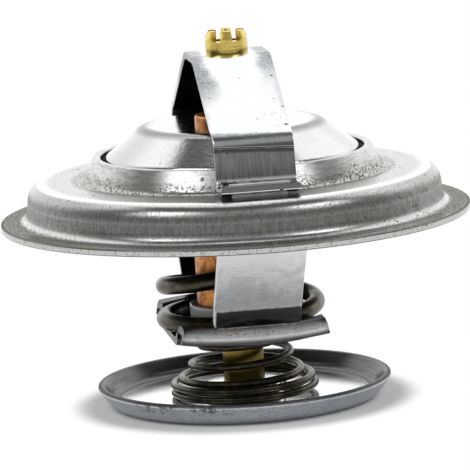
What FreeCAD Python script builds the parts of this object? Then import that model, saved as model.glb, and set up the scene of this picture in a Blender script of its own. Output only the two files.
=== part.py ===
"""Engine thermostat with a main valve and a bypass disc, as a parametric document.

Millimetres, +Z up. The bypass disc stands on z = 0 and every round piece turns about the Z axis.
The bridge and the legs lie in the plane of Y and Z, with the front pair at negative Y.
"""
import FreeCAD
import Part
import Sketcher
import math
import os
import re

FIT = 0.05
SLOW_START = 1.15

SIZES = [
    # the stamped flange
    ("rim_width", 4.25, "rim outside the hat's wall at the land"),
    ("flange_level", 26.5, "underside of the rim above the ground"),
    ("flange_gauge", 1.0, "sheet of the flange"),
    ("land_margin", 4.75, "hat's wall at the land outside the legs"),
    ("hat_rise", 6.5, "land above the underside of the rim"),
    ("wall_lean", 6.0, "hat's wall from upright, degrees"),
    ("shoulder_bend", 2.6, "bend between the hat's wall and its land"),
    ("rim_bend", 1.0, "bend between the rim and the hat's wall"),
    ("edge_round", 0.25, "rounding of sheet edges"),
    ("collar_rise", 3.3, "collar above the land"),
    ("collar_lean", 29.0, "collar from upright, degrees"),
    ("collar_bend", 1.2, "bend between the land and the collar"),
    # the main valve
    ("valve_gauge", 0.9, "sheet of the main valve"),
    ("seat_rise", 1.5, "rim of the main valve above the land"),
    ("seat_gap", 0.05, "play between the main valve and the collar"),
    ("dome_rise", 5.8, "flat top of the main valve above its rim"),
    ("crest_margin", 0.7, "edge of the main valve's flat top outside the main spring"),
    ("cone_run", 5.2, "run of the main valve's cone"),
    ("knee_drop", 4.05, "cone's lower edge under the flat top"),
    ("skirt_run", 0.5, "run of the main valve's skirt"),
    ("seat_width", 1.075, "flat rim of the main valve"),
    ("crest_bend", 2.6, "bend round the flat top"),
    # the wax capsule
    ("capsule_bottom", 9.6, "bottom of the cup above the ground"),
    ("cup_wall", 0.6, "wall of the cup"),
    ("wax_wall", 2.0, "wax round the rubber boot"),
    ("crimp_width", 0.7, "lip that the cup turns over the guide"),
    ("shoulder_height", 1.0, "guide's boss between the cup and the valve"),
    ("neck_step", 0.3, "guide's boss outside its neck"),
    ("head_lip", 0.6, "head outside the neck, which holds the valve"),
    ("head_height", 1.2, "head above the valve"),
    ("head_bend", 0.4, "rounding of the head"),
    ("guide_length", 6.0, "guide inside the cup"),
    ("washer_height", 0.6, "seal washer under the guide"),
    ("boot_flange", 1.4, "flange of the rubber boot"),
    ("boot_wall", 1.5, "rubber round the piston"),
    ("boot_end", 2.0, "rubber under the piston"),
    ("boot_depth", 15.5, "boot under its flange"),
    ("piston_radius", 2.0, "steel piston"),
    ("piston_tip", 0.6, "chamfer at the ends of the piston"),
    # the bridge over the valve
    ("bridge_gauge", 1.0, "sheet of the bridge"),
    ("bridge_width", 11.2, "width of the bridge"),
    ("bridge_top", 17.3, "top of the bridge above the land"),
    ("bridge_flat", 4.2, "half of the bridge's flat top"),
    ("knee_inset", 1.2, "knee of the bridge inside its heel"),
    ("bridge_knee_rise", 7.6, "knee of the bridge above the land"),
    ("heel_out", 0.6, "heel of the bridge outside the collar"),
    ("foot_out", 1.5, "tip of the bridge's foot outside the leg"),
    ("foot_curl", 0.85, "tip of the foot above the land"),
    ("heel_sink", 0.25, "corner of the heel, before its bend, under the land"),
    ("bridge_top_bend", 1.8, "bend at the top of the bridge"),
    ("bridge_knee_bend", 2.3, "bend at the knee of the bridge"),
    ("bridge_heel_bend", 1.6, "inner bend at the heel of the bridge"),
    # the brass adjusting bush
    ("crown_step", 0.4, "brass crown outside its shank"),
    ("bush_rise", 3.1, "crown above the bridge"),
    ("piston_stop", 0.3, "bore of the crown inside the piston"),
    ("shank_wall", 0.55, "wall of the bush where it passes the bridge"),
    ("bush_lip", 0.8, "collar of the bush under the bridge, outside its shank"),
    ("bush_flange_height", 0.8, "height of that collar"),
    ("socket_depth", 1.4, "piston's seat in the bush"),
    ("crown_slots", 6, "slots in the crown"),
    ("crown_slot_width", 1.4, "width of one slot"),
    ("crown_slot_depth", 1.45, "depth of one slot"),
    ("crown_turn", -8.2, "angle of the first slot"),
    ("crown_taper", 0.45, "how far the crown narrows at its top"),
    ("crown_taper_height", 1.05, "height over which it narrows"),
    # the legs under the flange
    ("leg_gauge", 1.0, "sheet of a leg"),
    ("leg_width", 12.4, "width of a leg"),
    ("leg_shoulder_width", 14.6, "width of a leg inside the hat"),
    ("leg_out", 2.9, "outside of a leg in the hat, outside the collar"),
    ("leg_bend_drop", 0.9, "upper bend of a leg under the rim"),
    ("toe_out", 1.6, "lower bend of a leg outside its foot"),
    ("leg_toe_rise", 2.9, "lower bend of a leg above the crossplate"),
    ("leg_inset", 1.8, "outside of a leg's foot inside the crossplate's lip"),
    ("leg_bend", 1.6, "outer bend of a leg"),
    ("tongue_width", 7.7, "width of the leg's tongues"),
    ("stake_rise", 0.4, "staked end of a tongue"),
    ("stake_spread", 0.4, "how far a staked end spreads to each side"),
    # the crossplate
    ("plate_lift", 0.45, "underside of the crossplate's floor above the bottom of the cup"),
    ("plate_gauge", 1.0, "sheet of the crossplate"),
    ("ledge_width", 3.7, "raised ledge with the lip"),
    ("plate_half_width", 10.6, "half of the crossplate's width"),
    ("dish_play", 0.4, "sunken floor outside the main spring"),
    ("dish_slope", 0.9, "run of the slope round the floor"),
    ("ledge_rise", 2.15, "raised ledge above the floor"),
    ("lip_drop", 2.15, "down-turned lip under the top of the ledge"),
    ("lip_bend", 1.3, "outer bend of the lip"),
    ("lip_taper", 0.5, "how far each end of the ledge slopes in"),
    ("guide_rise", 3.35, "guide collar above the floor"),
    ("guide_wall", 0.95, "wall of the guide collar"),
    ("guide_play", 0.15, "play between the cup and the guide collar"),
    ("guide_bend", 0.8, "bend round the guide collar"),
    # the main spring
    ("main_wire", 2.5, "wire of the main spring"),
    ("main_clearance", 3.45, "inside of the main spring outside the cup"),
    ("main_turns", 3.8, "turns of the main spring"),
    ("main_ramp", 1.6, "turns over which each end opens"),
    ("main_start", 118.0, "angle of the main spring's lower end"),
    ("main_taper", 1.75, "upper turns of the main spring inside its lowest turn"),
    ("main_wide", 0.7, "turns of the main spring before it narrows"),
    ("main_narrowed", 1.6, "turns of the main spring until it has narrowed"),
    # the bypass valve
    ("stem_radius", 2.94, "brass stem"),
    ("rivet_edge", 1.26, "riveted head of the stem outside the stem"),
    ("rivet_height", 1.0, "height of that head"),
    ("disc_flare", 2.73, "rim of the bypass disc outside the corner of its floor"),
    ("disc_gauge", 1.0, "sheet of the bypass disc"),
    ("disc_rise", 3.3, "height of the disc's rim"),
    ("disc_flat", 19.0, "corner of the disc's floor"),
    ("disc_bend", 3.0, "bend between the floor and the rim"),
    ("hub_rise", 1.7, "raised middle of the disc"),
    ("hub_play", 0.4, "room round the riveted head inside the hub"),
    ("hub_slope", 1.2, "run of the slope round the hub"),
    ("stem_play", 0.1, "play between the stem and the disc"),
    ("bypass_wire", 1.1, "wire of the bypass spring"),
    ("bypass_outside", 10.65, "outside of its lowest turn"),
    ("bypass_inset", 0.2, "outside of the highest turn inside the cup"),
    ("bypass_turns", 4.7, "turns of the bypass spring"),
    ("bypass_closed", 1.5, "turns that lie on each other at its foot"),
    ("bypass_wide", 1.2, "turns before it narrows"),
    ("bypass_narrow", 0.3, "turns after it has narrowed"),
    ("bypass_start", 172.0, "angle of the bypass spring's lower end"),
]

SHEET_LABEL = "Sizes"
NAMES = {name for name, _, _ in SIZES}
CAPSULE = f"(piston_radius + boot_wall + wax_wall + {FIT} + cup_wall)"
MAIN_OUTSIDE = f"({CAPSULE} + main_clearance + main_wire)"
CREST = f"({MAIN_OUTSIDE} + crest_margin)"
VALVE_KNEE = f"({CREST} + cone_run)"
SKIRT = f"({VALVE_KNEE} + skirt_run)"
COLLAR = f"({SKIRT} + seat_width + seat_gap + flange_gauge / cos(collar_lean) + seat_rise * tan(collar_lean))"
LEG_REACH = f"({COLLAR} + leg_out)"
HAT = f"({LEG_REACH} + land_margin)"
HEEL = f"({COLLAR} + heel_out)"
BRIDGE_KNEE = f"({HEEL} - knee_inset)"
FOOT = f"({LEG_REACH} + foot_out)"
DISH = f"({MAIN_OUTSIDE} + dish_play)"
PLATE = f"({DISH} + dish_slope + ledge_width)"
LEG_BOTTOM = f"({PLATE} - leg_inset)"
LEG_TOE = f"({LEG_BOTTOM} + toe_out)"
BOSS = f"({CAPSULE} - cup_wall - crimp_width - {FIT})"
NECK = f"({BOSS} - neck_step)"
SHANK = f"(piston_radius + {FIT} + shank_wall)"
RIVET = "(stem_radius + rivet_edge)"
HUB = f"({RIVET} + hub_play + disc_gauge)"
LEG_BEND_LEVEL = "(flange_level - leg_bend_drop)"
PLATE_LEVEL = "(capsule_bottom + plate_lift)"
LAND = "(flange_level + hat_rise)"
LAND_UNDER = "(flange_level + hat_rise - flange_gauge)"
SEAT = "(flange_level + hat_rise + seat_rise)"
VALVE_TOP = "(flange_level + hat_rise + seat_rise + dome_rise)"
VALVE_UNDER = "(flange_level + hat_rise + seat_rise + dome_rise - valve_gauge)"
BRIDGE_TOP = "(flange_level + hat_rise + bridge_top)"
BRIDGE_UNDER = "(flange_level + hat_rise + bridge_top - bridge_gauge)"
FLOOR_TOP = f"({PLATE_LEVEL} + plate_gauge)"
LEDGE_TOP = f"({PLATE_LEVEL} + plate_gauge + ledge_rise)"
LEDGE_UNDER = f"({PLATE_LEVEL} + ledge_rise)"
CUP_TOP = "(flange_level + hat_rise + seat_rise + dome_rise - valve_gauge - shoulder_height)"
GUIDE_FOOT = f"({CUP_TOP} - cup_wall - guide_length)"
BOOT_TOP = f"({GUIDE_FOOT} - washer_height)"
HUB_UNDER = "(hub_rise)"
FOOT_TOP = (f"({LAND} + bridge_gauge - heel_sink"
            f" + (foot_curl + heel_sink) * ({LEG_REACH} - {HEEL}) / ({FOOT} - {HEEL}))")

doc = FreeCAD.newDocument("Thermostat")
sheet = doc.addObject("Spreadsheet::Sheet", "Sizes")
sheet.Label = SHEET_LABEL
for row, (name, number, note) in enumerate(SIZES, start=1):
    sheet.set(f"A{row}", note)
    sheet.set(f"B{row}", str(number))
    sheet.setAlias(f"B{row}", name)
doc.recompute()

PIECES = []


def linked(formula):
    """The formula with each size named through the sheet."""
    return re.sub(r"[a-z_]+", lambda m: f"{SHEET_LABEL}.{m[0]}" if m[0] in NAMES else m[0], formula)


def number(formula):
    """The formula's value."""
    return float(sheet.evalExpression(formula))


def bind(thing, prop, formula):
    thing.setExpression(prop, linked(formula))


def origin_plane(body, role):
    return next(f for f in body.Origin.OriginFeatures if f.Role == role)


def new_body(name):
    body = doc.addObject("PartDesign::Body", name)
    body.Label = name
    PIECES.append(body)
    return body


def new_sketch(body, name, role):
    sketch = body.newObject("Sketcher::SketchObject", name)
    sketch.AttachmentSupport = (origin_plane(body, role), [""])
    sketch.MapMode = "FlatFace"
    return sketch


def pin_point(sketch, geo, pos, across, up):
    """Hold a point of the sketch at the two formulas."""
    for kind, formula in (("DistanceX", across), ("DistanceY", up)):
        index = sketch.addConstraint(Sketcher.Constraint(kind, -1, 1, geo, pos, number(formula)))
        bind(sketch, f"Constraints[{index}]", formula)


def corner_arc(before, corner, after, radius):
    """Centre, start and end of the arc that rounds a corner."""
    back = (before - corner).normalize()
    ahead = (after - corner).normalize()
    half = back.getAngle(ahead) / 2
    run = radius / math.tan(half)
    centre = corner + (back + ahead).normalize() * (radius / math.sin(half))
    return centre, corner + back * run, corner + ahead * run


def outline(sketch, corners):
    """Close straight sides through the corners, each (across, up, bend) in formulas; bend may be None."""
    points = [FreeCAD.Vector(number(across), number(up), 0) for across, up, _ in corners]
    count = len(corners)
    starts, ends, arcs = list(points), list(points), {}
    for i, (_, _, bend) in enumerate(corners):
        if bend:
            arcs[i] = corner_arc(points[i - 1], points[i], points[(i + 1) % count], number(bend))
            ends[i], starts[i] = arcs[i][1], arcs[i][2]
    sides = [sketch.addGeometry(Part.LineSegment(starts[i], ends[(i + 1) % count])) for i in range(count)]
    for i, (across, up, bend) in enumerate(corners):
        into, out = sides[i - 1], sides[i]
        if not bend:
            sketch.addConstraint(Sketcher.Constraint("Coincident", into, 2, out, 1))
            pin_point(sketch, out, 1, across, up)
            continue
        centre, start, end = arcs[i]
        first = math.atan2(start.y - centre.y, start.x - centre.x)
        last = math.atan2(end.y - centre.y, end.x - centre.x)
        counter = math.sin(last - first) > 0
        if not counter:
            first, last = last, first
        circle = Part.Circle(centre, FreeCAD.Vector(0, 0, 1), number(bend))
        arc = sketch.addGeometry(Part.ArcOfCircle(circle, first, last))
        near, far = (1, 2) if counter else (2, 1)
        mark = sketch.addGeometry(Part.Point(points[i]), True)
        sketch.addConstraint(Sketcher.Constraint("Tangent", into, 2, arc, near))
        sketch.addConstraint(Sketcher.Constraint("Tangent", arc, far, out, 1))
        sketch.addConstraint(Sketcher.Constraint("PointOnObject", mark, 1, into))
        sketch.addConstraint(Sketcher.Constraint("PointOnObject", mark, 1, out))
        radius = sketch.addConstraint(Sketcher.Constraint("Radius", arc, number(bend)))
        bind(sketch, f"Constraints[{radius}]", bend)
        pin_point(sketch, mark, 1, across, up)


def turned(body, name, corners):
    """Turn an outline of (radius, height) about the axis."""
    sketch = new_sketch(body, f"{name}_outline", "XZ_Plane")
    outline(sketch, corners)
    turn = body.newObject("PartDesign::Revolution", f"{name}_turn")
    turn.Profile = sketch
    turn.ReferenceAxis = (sketch, ["V_Axis"])
    turn.Angle = 360
    sketch.Visibility = False
    return turn


def folded(body, name, corners, width):
    """Give an outline of (reach, height) a width about the middle plane."""
    sketch = new_sketch(body, f"{name}_outline", "YZ_Plane")
    outline(sketch, corners)
    pad = body.newObject("PartDesign::Pad", f"{name}_pad")
    pad.Profile = sketch
    pad.Midplane = True
    bind(pad, "Length", width)
    return pad


def cut_through(body, name, role, corners, both_ways=True):
    """Cut an outline on an origin plane right through the body."""
    sketch = new_sketch(body, f"{name}_outline", role)
    outline(sketch, corners)
    pocket = body.newObject("PartDesign::Pocket", f"{name}_cut")
    pocket.Profile = sketch
    pocket.Type = "ThroughAll"
    pocket.Midplane = both_ways
    return pocket


def box_corners(low_across, high_across, low_up, high_up):
    return [(low_across, low_up, None), (high_across, low_up, None),
            (high_across, high_up, None), (low_across, high_up, None)]


def collar_inside(level):
    """Radius of the collar's inner wall at a height above the land."""
    return f"({COLLAR} - flange_gauge / cos(collar_lean) - ({level}) * tan(collar_lean))"


def make_flange():
    body = new_body("flange")
    rim_top = "flange_level + flange_gauge"
    collar_top = f"{LAND} + collar_rise"
    turned(body, "flange", [
        (f"{HAT} + rim_width", "flange_level", "edge_round"),
        (f"{HAT} + rim_width", rim_top, "edge_round"),
        (f"{HAT} + (hat_rise - flange_gauge) * tan(wall_lean)", rim_top, "rim_bend"),
        (HAT, LAND, "shoulder_bend"),
        (COLLAR, LAND, "collar_bend"),
        (f"{COLLAR} - collar_rise * tan(collar_lean)", collar_top, "edge_round"),
        (collar_inside("collar_rise"), collar_top, "edge_round"),
        (collar_inside("-flange_gauge"), LAND_UNDER, "collar_bend + flange_gauge"),
        (f"{HAT} + flange_gauge * tan(wall_lean) - flange_gauge / cos(wall_lean)", LAND_UNDER,
         "shoulder_bend - flange_gauge"),
        (f"{HAT} + hat_rise * tan(wall_lean) - flange_gauge / cos(wall_lean)", "flange_level",
         "rim_bend + flange_gauge"),
    ])
    slot_in = f"{LEG_REACH} - leg_gauge - {FIT}"
    slot_out = f"{LEG_REACH} + {FIT}"
    half = f"tongue_width / 2 + {FIT}"
    for side, sign in (("front", "-"), ("rear", "")):
        near, far = (slot_out, slot_in) if sign else (slot_in, slot_out)
        cut_through(body, f"{side}_slot", "XY_Plane",
                    box_corners(f"-({half})", half, f"{sign}({near})", f"{sign}({far})"))


def make_valve_plate():
    body = new_body("valve_plate")
    knee = f"{VALVE_TOP} - knee_drop"
    turned(body, "valve", [
        (f"{NECK} + {FIT}", VALVE_UNDER, None),
        (f"{NECK} + {FIT}", VALVE_TOP, None),
        (CREST, VALVE_TOP, "crest_bend"),
        (VALVE_KNEE, knee, "valve_gauge"),
        (SKIRT, SEAT, "edge_round"),
        (f"{collar_inside('seat_rise')} - seat_gap", SEAT, None),
        (f"{collar_inside('seat_rise - valve_gauge')} - seat_gap", f"{SEAT} - valve_gauge", None),
        (f"{SKIRT} - valve_gauge", f"{SEAT} - valve_gauge", "valve_gauge"),
        (f"{VALVE_KNEE} - valve_gauge", f"{knee} - valve_gauge / 2", None),
        (f"{CREST} - valve_gauge / 2", VALVE_UNDER, "crest_bend - valve_gauge"),
    ])


def make_capsule():
    cup = new_body("capsule_cup")
    crimp = f"{CUP_TOP} - cup_wall"
    turned(cup, "cup", [
        ("0", "capsule_bottom", None),
        (CAPSULE, "capsule_bottom", "cup_wall"),
        (CAPSULE, CUP_TOP, "cup_wall"),
        (f"{CAPSULE} - cup_wall - crimp_width", CUP_TOP, None),
        (f"{CAPSULE} - cup_wall - crimp_width", crimp, None),
        (f"{CAPSULE} - cup_wall", crimp, None),
        (f"{CAPSULE} - cup_wall", "capsule_bottom + cup_wall", None),
        ("0", "capsule_bottom + cup_wall", None),
    ])
    guide = new_body("capsule_guide")
    bore = f"piston_radius + {FIT}"
    inner = f"{CAPSULE} - cup_wall - {FIT}"
    head_top = f"{VALVE_TOP} + head_height"
    turned(guide, "guide", [
        (bore, GUIDE_FOOT, None),
        (inner, GUIDE_FOOT, None),
        (inner, crimp, None),
        (BOSS, crimp, None),
        (BOSS, VALVE_UNDER, None),
        (NECK, VALVE_UNDER, None),
        (NECK, VALVE_TOP, None),
        (f"{NECK} + head_lip", VALVE_TOP, None),
        (f"{NECK} + head_lip", head_top, "head_bend"),
        (bore, head_top, None),
    ])
    washer = new_body("seal_washer")
    turned(washer, "washer", [
        (bore, BOOT_TOP, None),
        (inner, BOOT_TOP, None),
        (inner, GUIDE_FOOT, None),
        (bore, GUIDE_FOOT, None),
    ])
    boot = new_body("rubber_boot")
    flange_foot = f"{BOOT_TOP} - boot_flange"
    boot_foot = f"{BOOT_TOP} - boot_flange - boot_depth"
    sleeve = "piston_radius + boot_wall"
    turned(boot, "boot", [
        ("0", boot_foot, None),
        (sleeve, boot_foot, "boot_wall"),
        (sleeve, flange_foot, None),
        (inner, flange_foot, None),
        (inner, BOOT_TOP, None),
        (bore, BOOT_TOP, None),
        (bore, f"{boot_foot} + boot_end", None),
        ("0", f"{boot_foot} + boot_end", None),
    ])
    wax = new_body("wax_charge")
    turned(wax, "wax", [
        ("0", "capsule_bottom + cup_wall", None),
        (inner, "capsule_bottom + cup_wall", None),
        (inner, flange_foot, None),
        (f"{sleeve} + {FIT}", flange_foot, None),
        (f"{sleeve} + {FIT}", boot_foot, None),
        ("0", boot_foot, None),
    ])
    piston = new_body("piston")
    foot = f"{boot_foot} + boot_end"
    top = f"{BRIDGE_UNDER} - bush_flange_height + socket_depth"
    turned(piston, "piston", [
        ("0", foot, None),
        ("piston_radius - piston_tip", foot, None),
        ("piston_radius", f"{foot} + piston_tip", None),
        ("piston_radius", f"{top} - piston_tip", None),
        ("piston_radius - piston_tip", top, None),
        ("0", top, None),
    ])


def make_bush():
    body = new_body("adjusting_bush")
    foot = f"{BRIDGE_UNDER} - bush_flange_height"
    top = f"{BRIDGE_TOP} + bush_rise"
    turned(body, "bush", [
        (f"piston_radius + {FIT}", foot, None),
        (f"{SHANK} + bush_lip", foot, None),
        (f"{SHANK} + bush_lip", BRIDGE_UNDER, None),
        (SHANK, BRIDGE_UNDER, None),
        (SHANK, BRIDGE_TOP, None),
        (f"{SHANK} + crown_step", BRIDGE_TOP, None),
        (f"{SHANK} + crown_step", f"{top} - crown_taper_height", None),
        (f"{SHANK} + crown_step - crown_taper", top, "edge_round"),
        ("piston_radius - piston_stop", top, None),
        ("piston_radius - piston_stop", f"{foot} + socket_depth", None),
        (f"piston_radius + {FIT}", f"{foot} + socket_depth", None),
    ])
    sketch = new_sketch(body, "crown_slot_outline", "YZ_Plane")
    upright = FreeCAD.Rotation(FreeCAD.Vector(0, 1, 0), number("crown_turn"))
    sketch.AttachmentOffset = FreeCAD.Placement(FreeCAD.Vector(), upright)
    bind(sketch, "AttachmentOffset.Rotation.Angle", "crown_turn * 1 deg")
    half = "crown_slot_width / 2"
    outline(sketch, box_corners(f"-{half}", half, f"{top} - crown_slot_depth", f"{top} + crown_slot_depth"))
    slot = body.newObject("PartDesign::Pocket", "crown_slot_cut")
    slot.Profile = sketch
    slot.Type = "ThroughAll"
    slot.Reversed = True
    pattern = body.newObject("PartDesign::PolarPattern", "crown_slots")
    pattern.Originals = [slot]
    pattern.Axis = (origin_plane(body, "Z_Axis"), [""])
    pattern.Angle = 360
    bind(pattern, "Occurrences", "crown_slots")
    body.Tip = pattern


def make_bridge():
    body = new_body("top_bridge")
    reach = "bridge_gauge"
    knee_lean = "atan(knee_inset / bridge_knee_rise)"
    slope = f"atan((bridge_top - bridge_knee_rise) / ({BRIDGE_KNEE} - bridge_flat))"
    top_in = f"bridge_flat - bridge_gauge * tan({slope} / 2)"
    knee_turn = f"((90 deg - {knee_lean} - {slope}) / 2)"
    knee_in = f"{BRIDGE_KNEE} - {reach} * sin({slope} + {knee_turn}) / cos({knee_turn})"
    knee_drop = f"{reach} * cos({slope} + {knee_turn}) / cos({knee_turn})"
    heel_in = f"{HEEL} - {reach} / cos({knee_lean}) + {reach} * tan({knee_lean})"
    half = [
        ("bridge_flat", BRIDGE_TOP, "bridge_top_bend"),
        (BRIDGE_KNEE, f"{LAND} + bridge_knee_rise", "bridge_knee_bend"),
        (HEEL, f"{LAND} + bridge_gauge - heel_sink", "bridge_heel_bend"),
        (FOOT, f"{LAND} + bridge_gauge + foot_curl", "edge_round"),
        (FOOT, f"{LAND} + foot_curl", None),
        (heel_in, f"{LAND} - heel_sink", "bridge_heel_bend + bridge_gauge"),
        (knee_in, f"{LAND} + bridge_knee_rise - {knee_drop}", "bridge_knee_bend - bridge_gauge"),
        (top_in, BRIDGE_UNDER, "bridge_top_bend - bridge_gauge"),
    ]
    other = [(f"-({across})", up, bend) for across, up, bend in reversed(half)]
    folded(body, "bridge", half + other, "bridge_width")
    hole = new_sketch(body, "bush_hole_outline", "XY_Plane")
    ring = Part.Circle(FreeCAD.Vector(0, 0, 0), FreeCAD.Vector(0, 0, 1), number(SHANK) + FIT)
    circle = hole.addGeometry(ring)
    hole.addConstraint(Sketcher.Constraint("Coincident", circle, 3, -1, 1))
    radius = hole.addConstraint(Sketcher.Constraint("Radius", circle, number(SHANK) + FIT))
    bind(hole, f"Constraints[{radius}]", f"{SHANK} + {FIT}")
    drill = body.newObject("PartDesign::Pocket", "bush_hole_cut")
    drill.Profile = hole
    drill.Type = "ThroughAll"
    drill.Midplane = True
    slot_half = f"tongue_width / 2 + {FIT}"
    slot_in = f"{LEG_REACH} - leg_gauge - {FIT}"
    slot_out = f"{LEG_REACH} + {FIT}"
    cut_through(body, "front_slot", "XY_Plane",
                box_corners(f"-({slot_half})", slot_half, f"-({slot_out})", f"-({slot_in})"))
    cut_through(body, "rear_slot", "XY_Plane", box_corners(f"-({slot_half})", slot_half, slot_in, slot_out))


def make_leg(name, sign):
    """A leg hangs from the land, slants in and ends through the crossplate."""
    body = new_body(name)
    toe = f"{LEDGE_TOP} + leg_toe_rise"
    slope = f"atan(({LEG_REACH} - {LEG_TOE}) / ({LEG_BEND_LEVEL} - {toe}))"
    toe_lean = "atan(toe_out / leg_toe_rise)"
    upper_drop = f"leg_gauge * tan({slope} / 2)"
    mid_turn = f"(({slope} - {toe_lean}) / 2)"
    toe_in = f"{LEG_TOE} - leg_gauge * cos({slope} - {mid_turn}) / cos({mid_turn})"
    toe_up = f"{toe} + leg_gauge * sin({slope} - {mid_turn}) / cos({mid_turn})"
    foot = f"{LEDGE_UNDER} - stake_rise"
    top = f"{FOOT_TOP} + {FIT} + stake_rise"
    bottom_up = f"{LEDGE_TOP} + leg_gauge * tan({toe_lean} / 2)"
    corners = [
        (LEG_REACH, top, None),
        (LEG_REACH, LEG_BEND_LEVEL, "leg_bend"),
        (LEG_TOE, toe, "leg_bend"),
        (LEG_BOTTOM, LEDGE_TOP, None),
        (LEG_BOTTOM, foot, None),
        (f"{LEG_BOTTOM} - leg_gauge", foot, None),
        (f"{LEG_BOTTOM} - leg_gauge", bottom_up, None),
        (toe_in, toe_up, None),
        (f"{LEG_REACH} - leg_gauge", f"{LEG_BEND_LEVEL} + {upper_drop}", None),
        (f"{LEG_REACH} - leg_gauge", top, None),
    ]
    if sign:
        corners = [(f"-({across})", up, bend) for across, up, bend in reversed(corners)]
    folded(body, name, corners, "leg_shoulder_width")
    over = f"{top} + leg_gauge"
    under = f"{foot} - leg_gauge"
    flare = "flange_level - leg_gauge"
    stake = f"{top} - stake_rise"
    for side, lean in (("left", "-"), ("right", "")):
        trim = [
            (f"{lean}(tongue_width / 2 + stake_spread)", over, None),
            (f"{lean}(tongue_width / 2 + stake_spread)", stake, None),
            (f"{lean}(tongue_width / 2)", stake, None),
            (f"{lean}(tongue_width / 2)", LAND_UNDER, None),
            (f"{lean}(leg_shoulder_width)", LAND_UNDER, None),
            (f"{lean}(leg_shoulder_width)", over, None),
        ]
        cut_through(body, f"{side}_tongue", "XZ_Plane", trim)
        waist = [
            (f"{lean}(leg_shoulder_width / 2)", "flange_level", None),
            (f"{lean}(leg_width / 2)", flare, "leg_bend"),
            (f"{lean}(leg_width / 2)", LEDGE_TOP, None),
            (f"{lean}(tongue_width / 2)", LEDGE_TOP, None),
            (f"{lean}(tongue_width / 2)", LEDGE_UNDER, None),
            (f"{lean}(tongue_width / 2 + stake_spread)", LEDGE_UNDER, None),
            (f"{lean}(tongue_width / 2 + stake_spread)", under, None),
            (f"{lean}(leg_shoulder_width)", under, None),
            (f"{lean}(leg_shoulder_width)", "flange_level", None),
        ]
        cut_through(body, f"{side}_waist", "XZ_Plane", waist)


def make_crossplate():
    """A sunken floor for the spring, a raised ledge for the legs and a down-turned lip."""
    body = new_body("crossplate")
    lip_foot = f"{LEDGE_TOP} - lip_drop"
    guide_in = f"{CAPSULE} + guide_play"
    turned(body, "plate", [
        (guide_in, PLATE_LEVEL, "guide_bend"),
        (f"{DISH} + plate_gauge", PLATE_LEVEL, "plate_gauge"),
        (f"{DISH} + dish_slope + plate_gauge", LEDGE_UNDER, "edge_round"),
        (f"{PLATE} - plate_gauge", LEDGE_UNDER, "lip_bend - plate_gauge"),
        (f"{PLATE} - plate_gauge", lip_foot, "edge_round"),
        (PLATE, lip_foot, "edge_round"),
        (PLATE, LEDGE_TOP, "lip_bend"),
        (f"{DISH} + dish_slope", LEDGE_TOP, "plate_gauge"),
        (DISH, FLOOR_TOP, "edge_round"),
        (f"{guide_in} + guide_wall", FLOOR_TOP, "guide_bend"),
        (f"{guide_in} + guide_wall", f"{FLOOR_TOP} + guide_rise", "edge_round"),
        (guide_in, f"{FLOOR_TOP} + guide_rise", "edge_round"),
    ])
    over = f"{LEDGE_TOP} + guide_rise"
    under = f"{PLATE_LEVEL} - plate_gauge"
    for side, lean in (("left", "-"), ("right", "")):
        trim = [
            (f"{lean}plate_half_width", under, None),
            (f"{lean}plate_half_width", lip_foot, None),
            (f"{lean}(plate_half_width - lip_taper)", LEDGE_TOP, None),
            (f"{lean}(plate_half_width - lip_taper)", over, None),
            (f"{lean}({PLATE} * 2)", over, None),
            (f"{lean}({PLATE} * 2)", under, None),
        ]
        cut_through(body, f"{side}_side", "XZ_Plane", trim)
    half = f"tongue_width / 2 + {FIT}"
    slot_in = f"{LEG_BOTTOM} - leg_gauge - {FIT}"
    slot_out = f"{LEG_BOTTOM} + {FIT}"
    cut_through(body, "front_slot", "XY_Plane",
                box_corners(f"-({half})", half, f"-({slot_out})", f"-({slot_in})"))
    cut_through(body, "rear_slot", "XY_Plane", box_corners(f"-({half})", half, slot_in, slot_out))


def make_bypass_disc():
    body = new_body("bypass_disc")
    hole = "stem_radius + stem_play"
    lean = "atan(disc_flare / disc_rise)"
    wall = f"disc_gauge / cos({lean})"
    hub_top = "hub_rise + disc_gauge"
    slope = f"{HUB} + hub_slope"
    turned(body, "disc", [
        (hole, HUB_UNDER, None),
        (f"{HUB} - disc_gauge", HUB_UNDER, "disc_gauge / 2"),
        (f"{slope} - disc_gauge / 2", "0", "disc_gauge / 2"),
        ("disc_flat", "0", "disc_bend"),
        ("disc_flat + disc_flare", "disc_rise", "edge_round"),
        (f"disc_flat + disc_flare - {wall}", "disc_rise", "edge_round"),
        (f"disc_flat - {wall} + disc_gauge * tan({lean})", "disc_gauge", "disc_bend - disc_gauge"),
        (slope, "disc_gauge", "disc_gauge / 2"),
        (HUB, hub_top, "disc_gauge / 2"),
        (hole, hub_top, None),
    ])
    stem = new_body("bypass_stem")
    head_top = f"{HUB_UNDER} - {FIT}"
    turned(stem, "stem", [
        ("0", f"{head_top} - rivet_height", None),
        (RIVET, f"{head_top} - rivet_height", "rivet_height / 2"),
        (RIVET, head_top, None),
        ("stem_radius", head_top, None),
        ("stem_radius", "capsule_bottom", None),
        ("0", "capsule_bottom", None),
    ])


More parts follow.
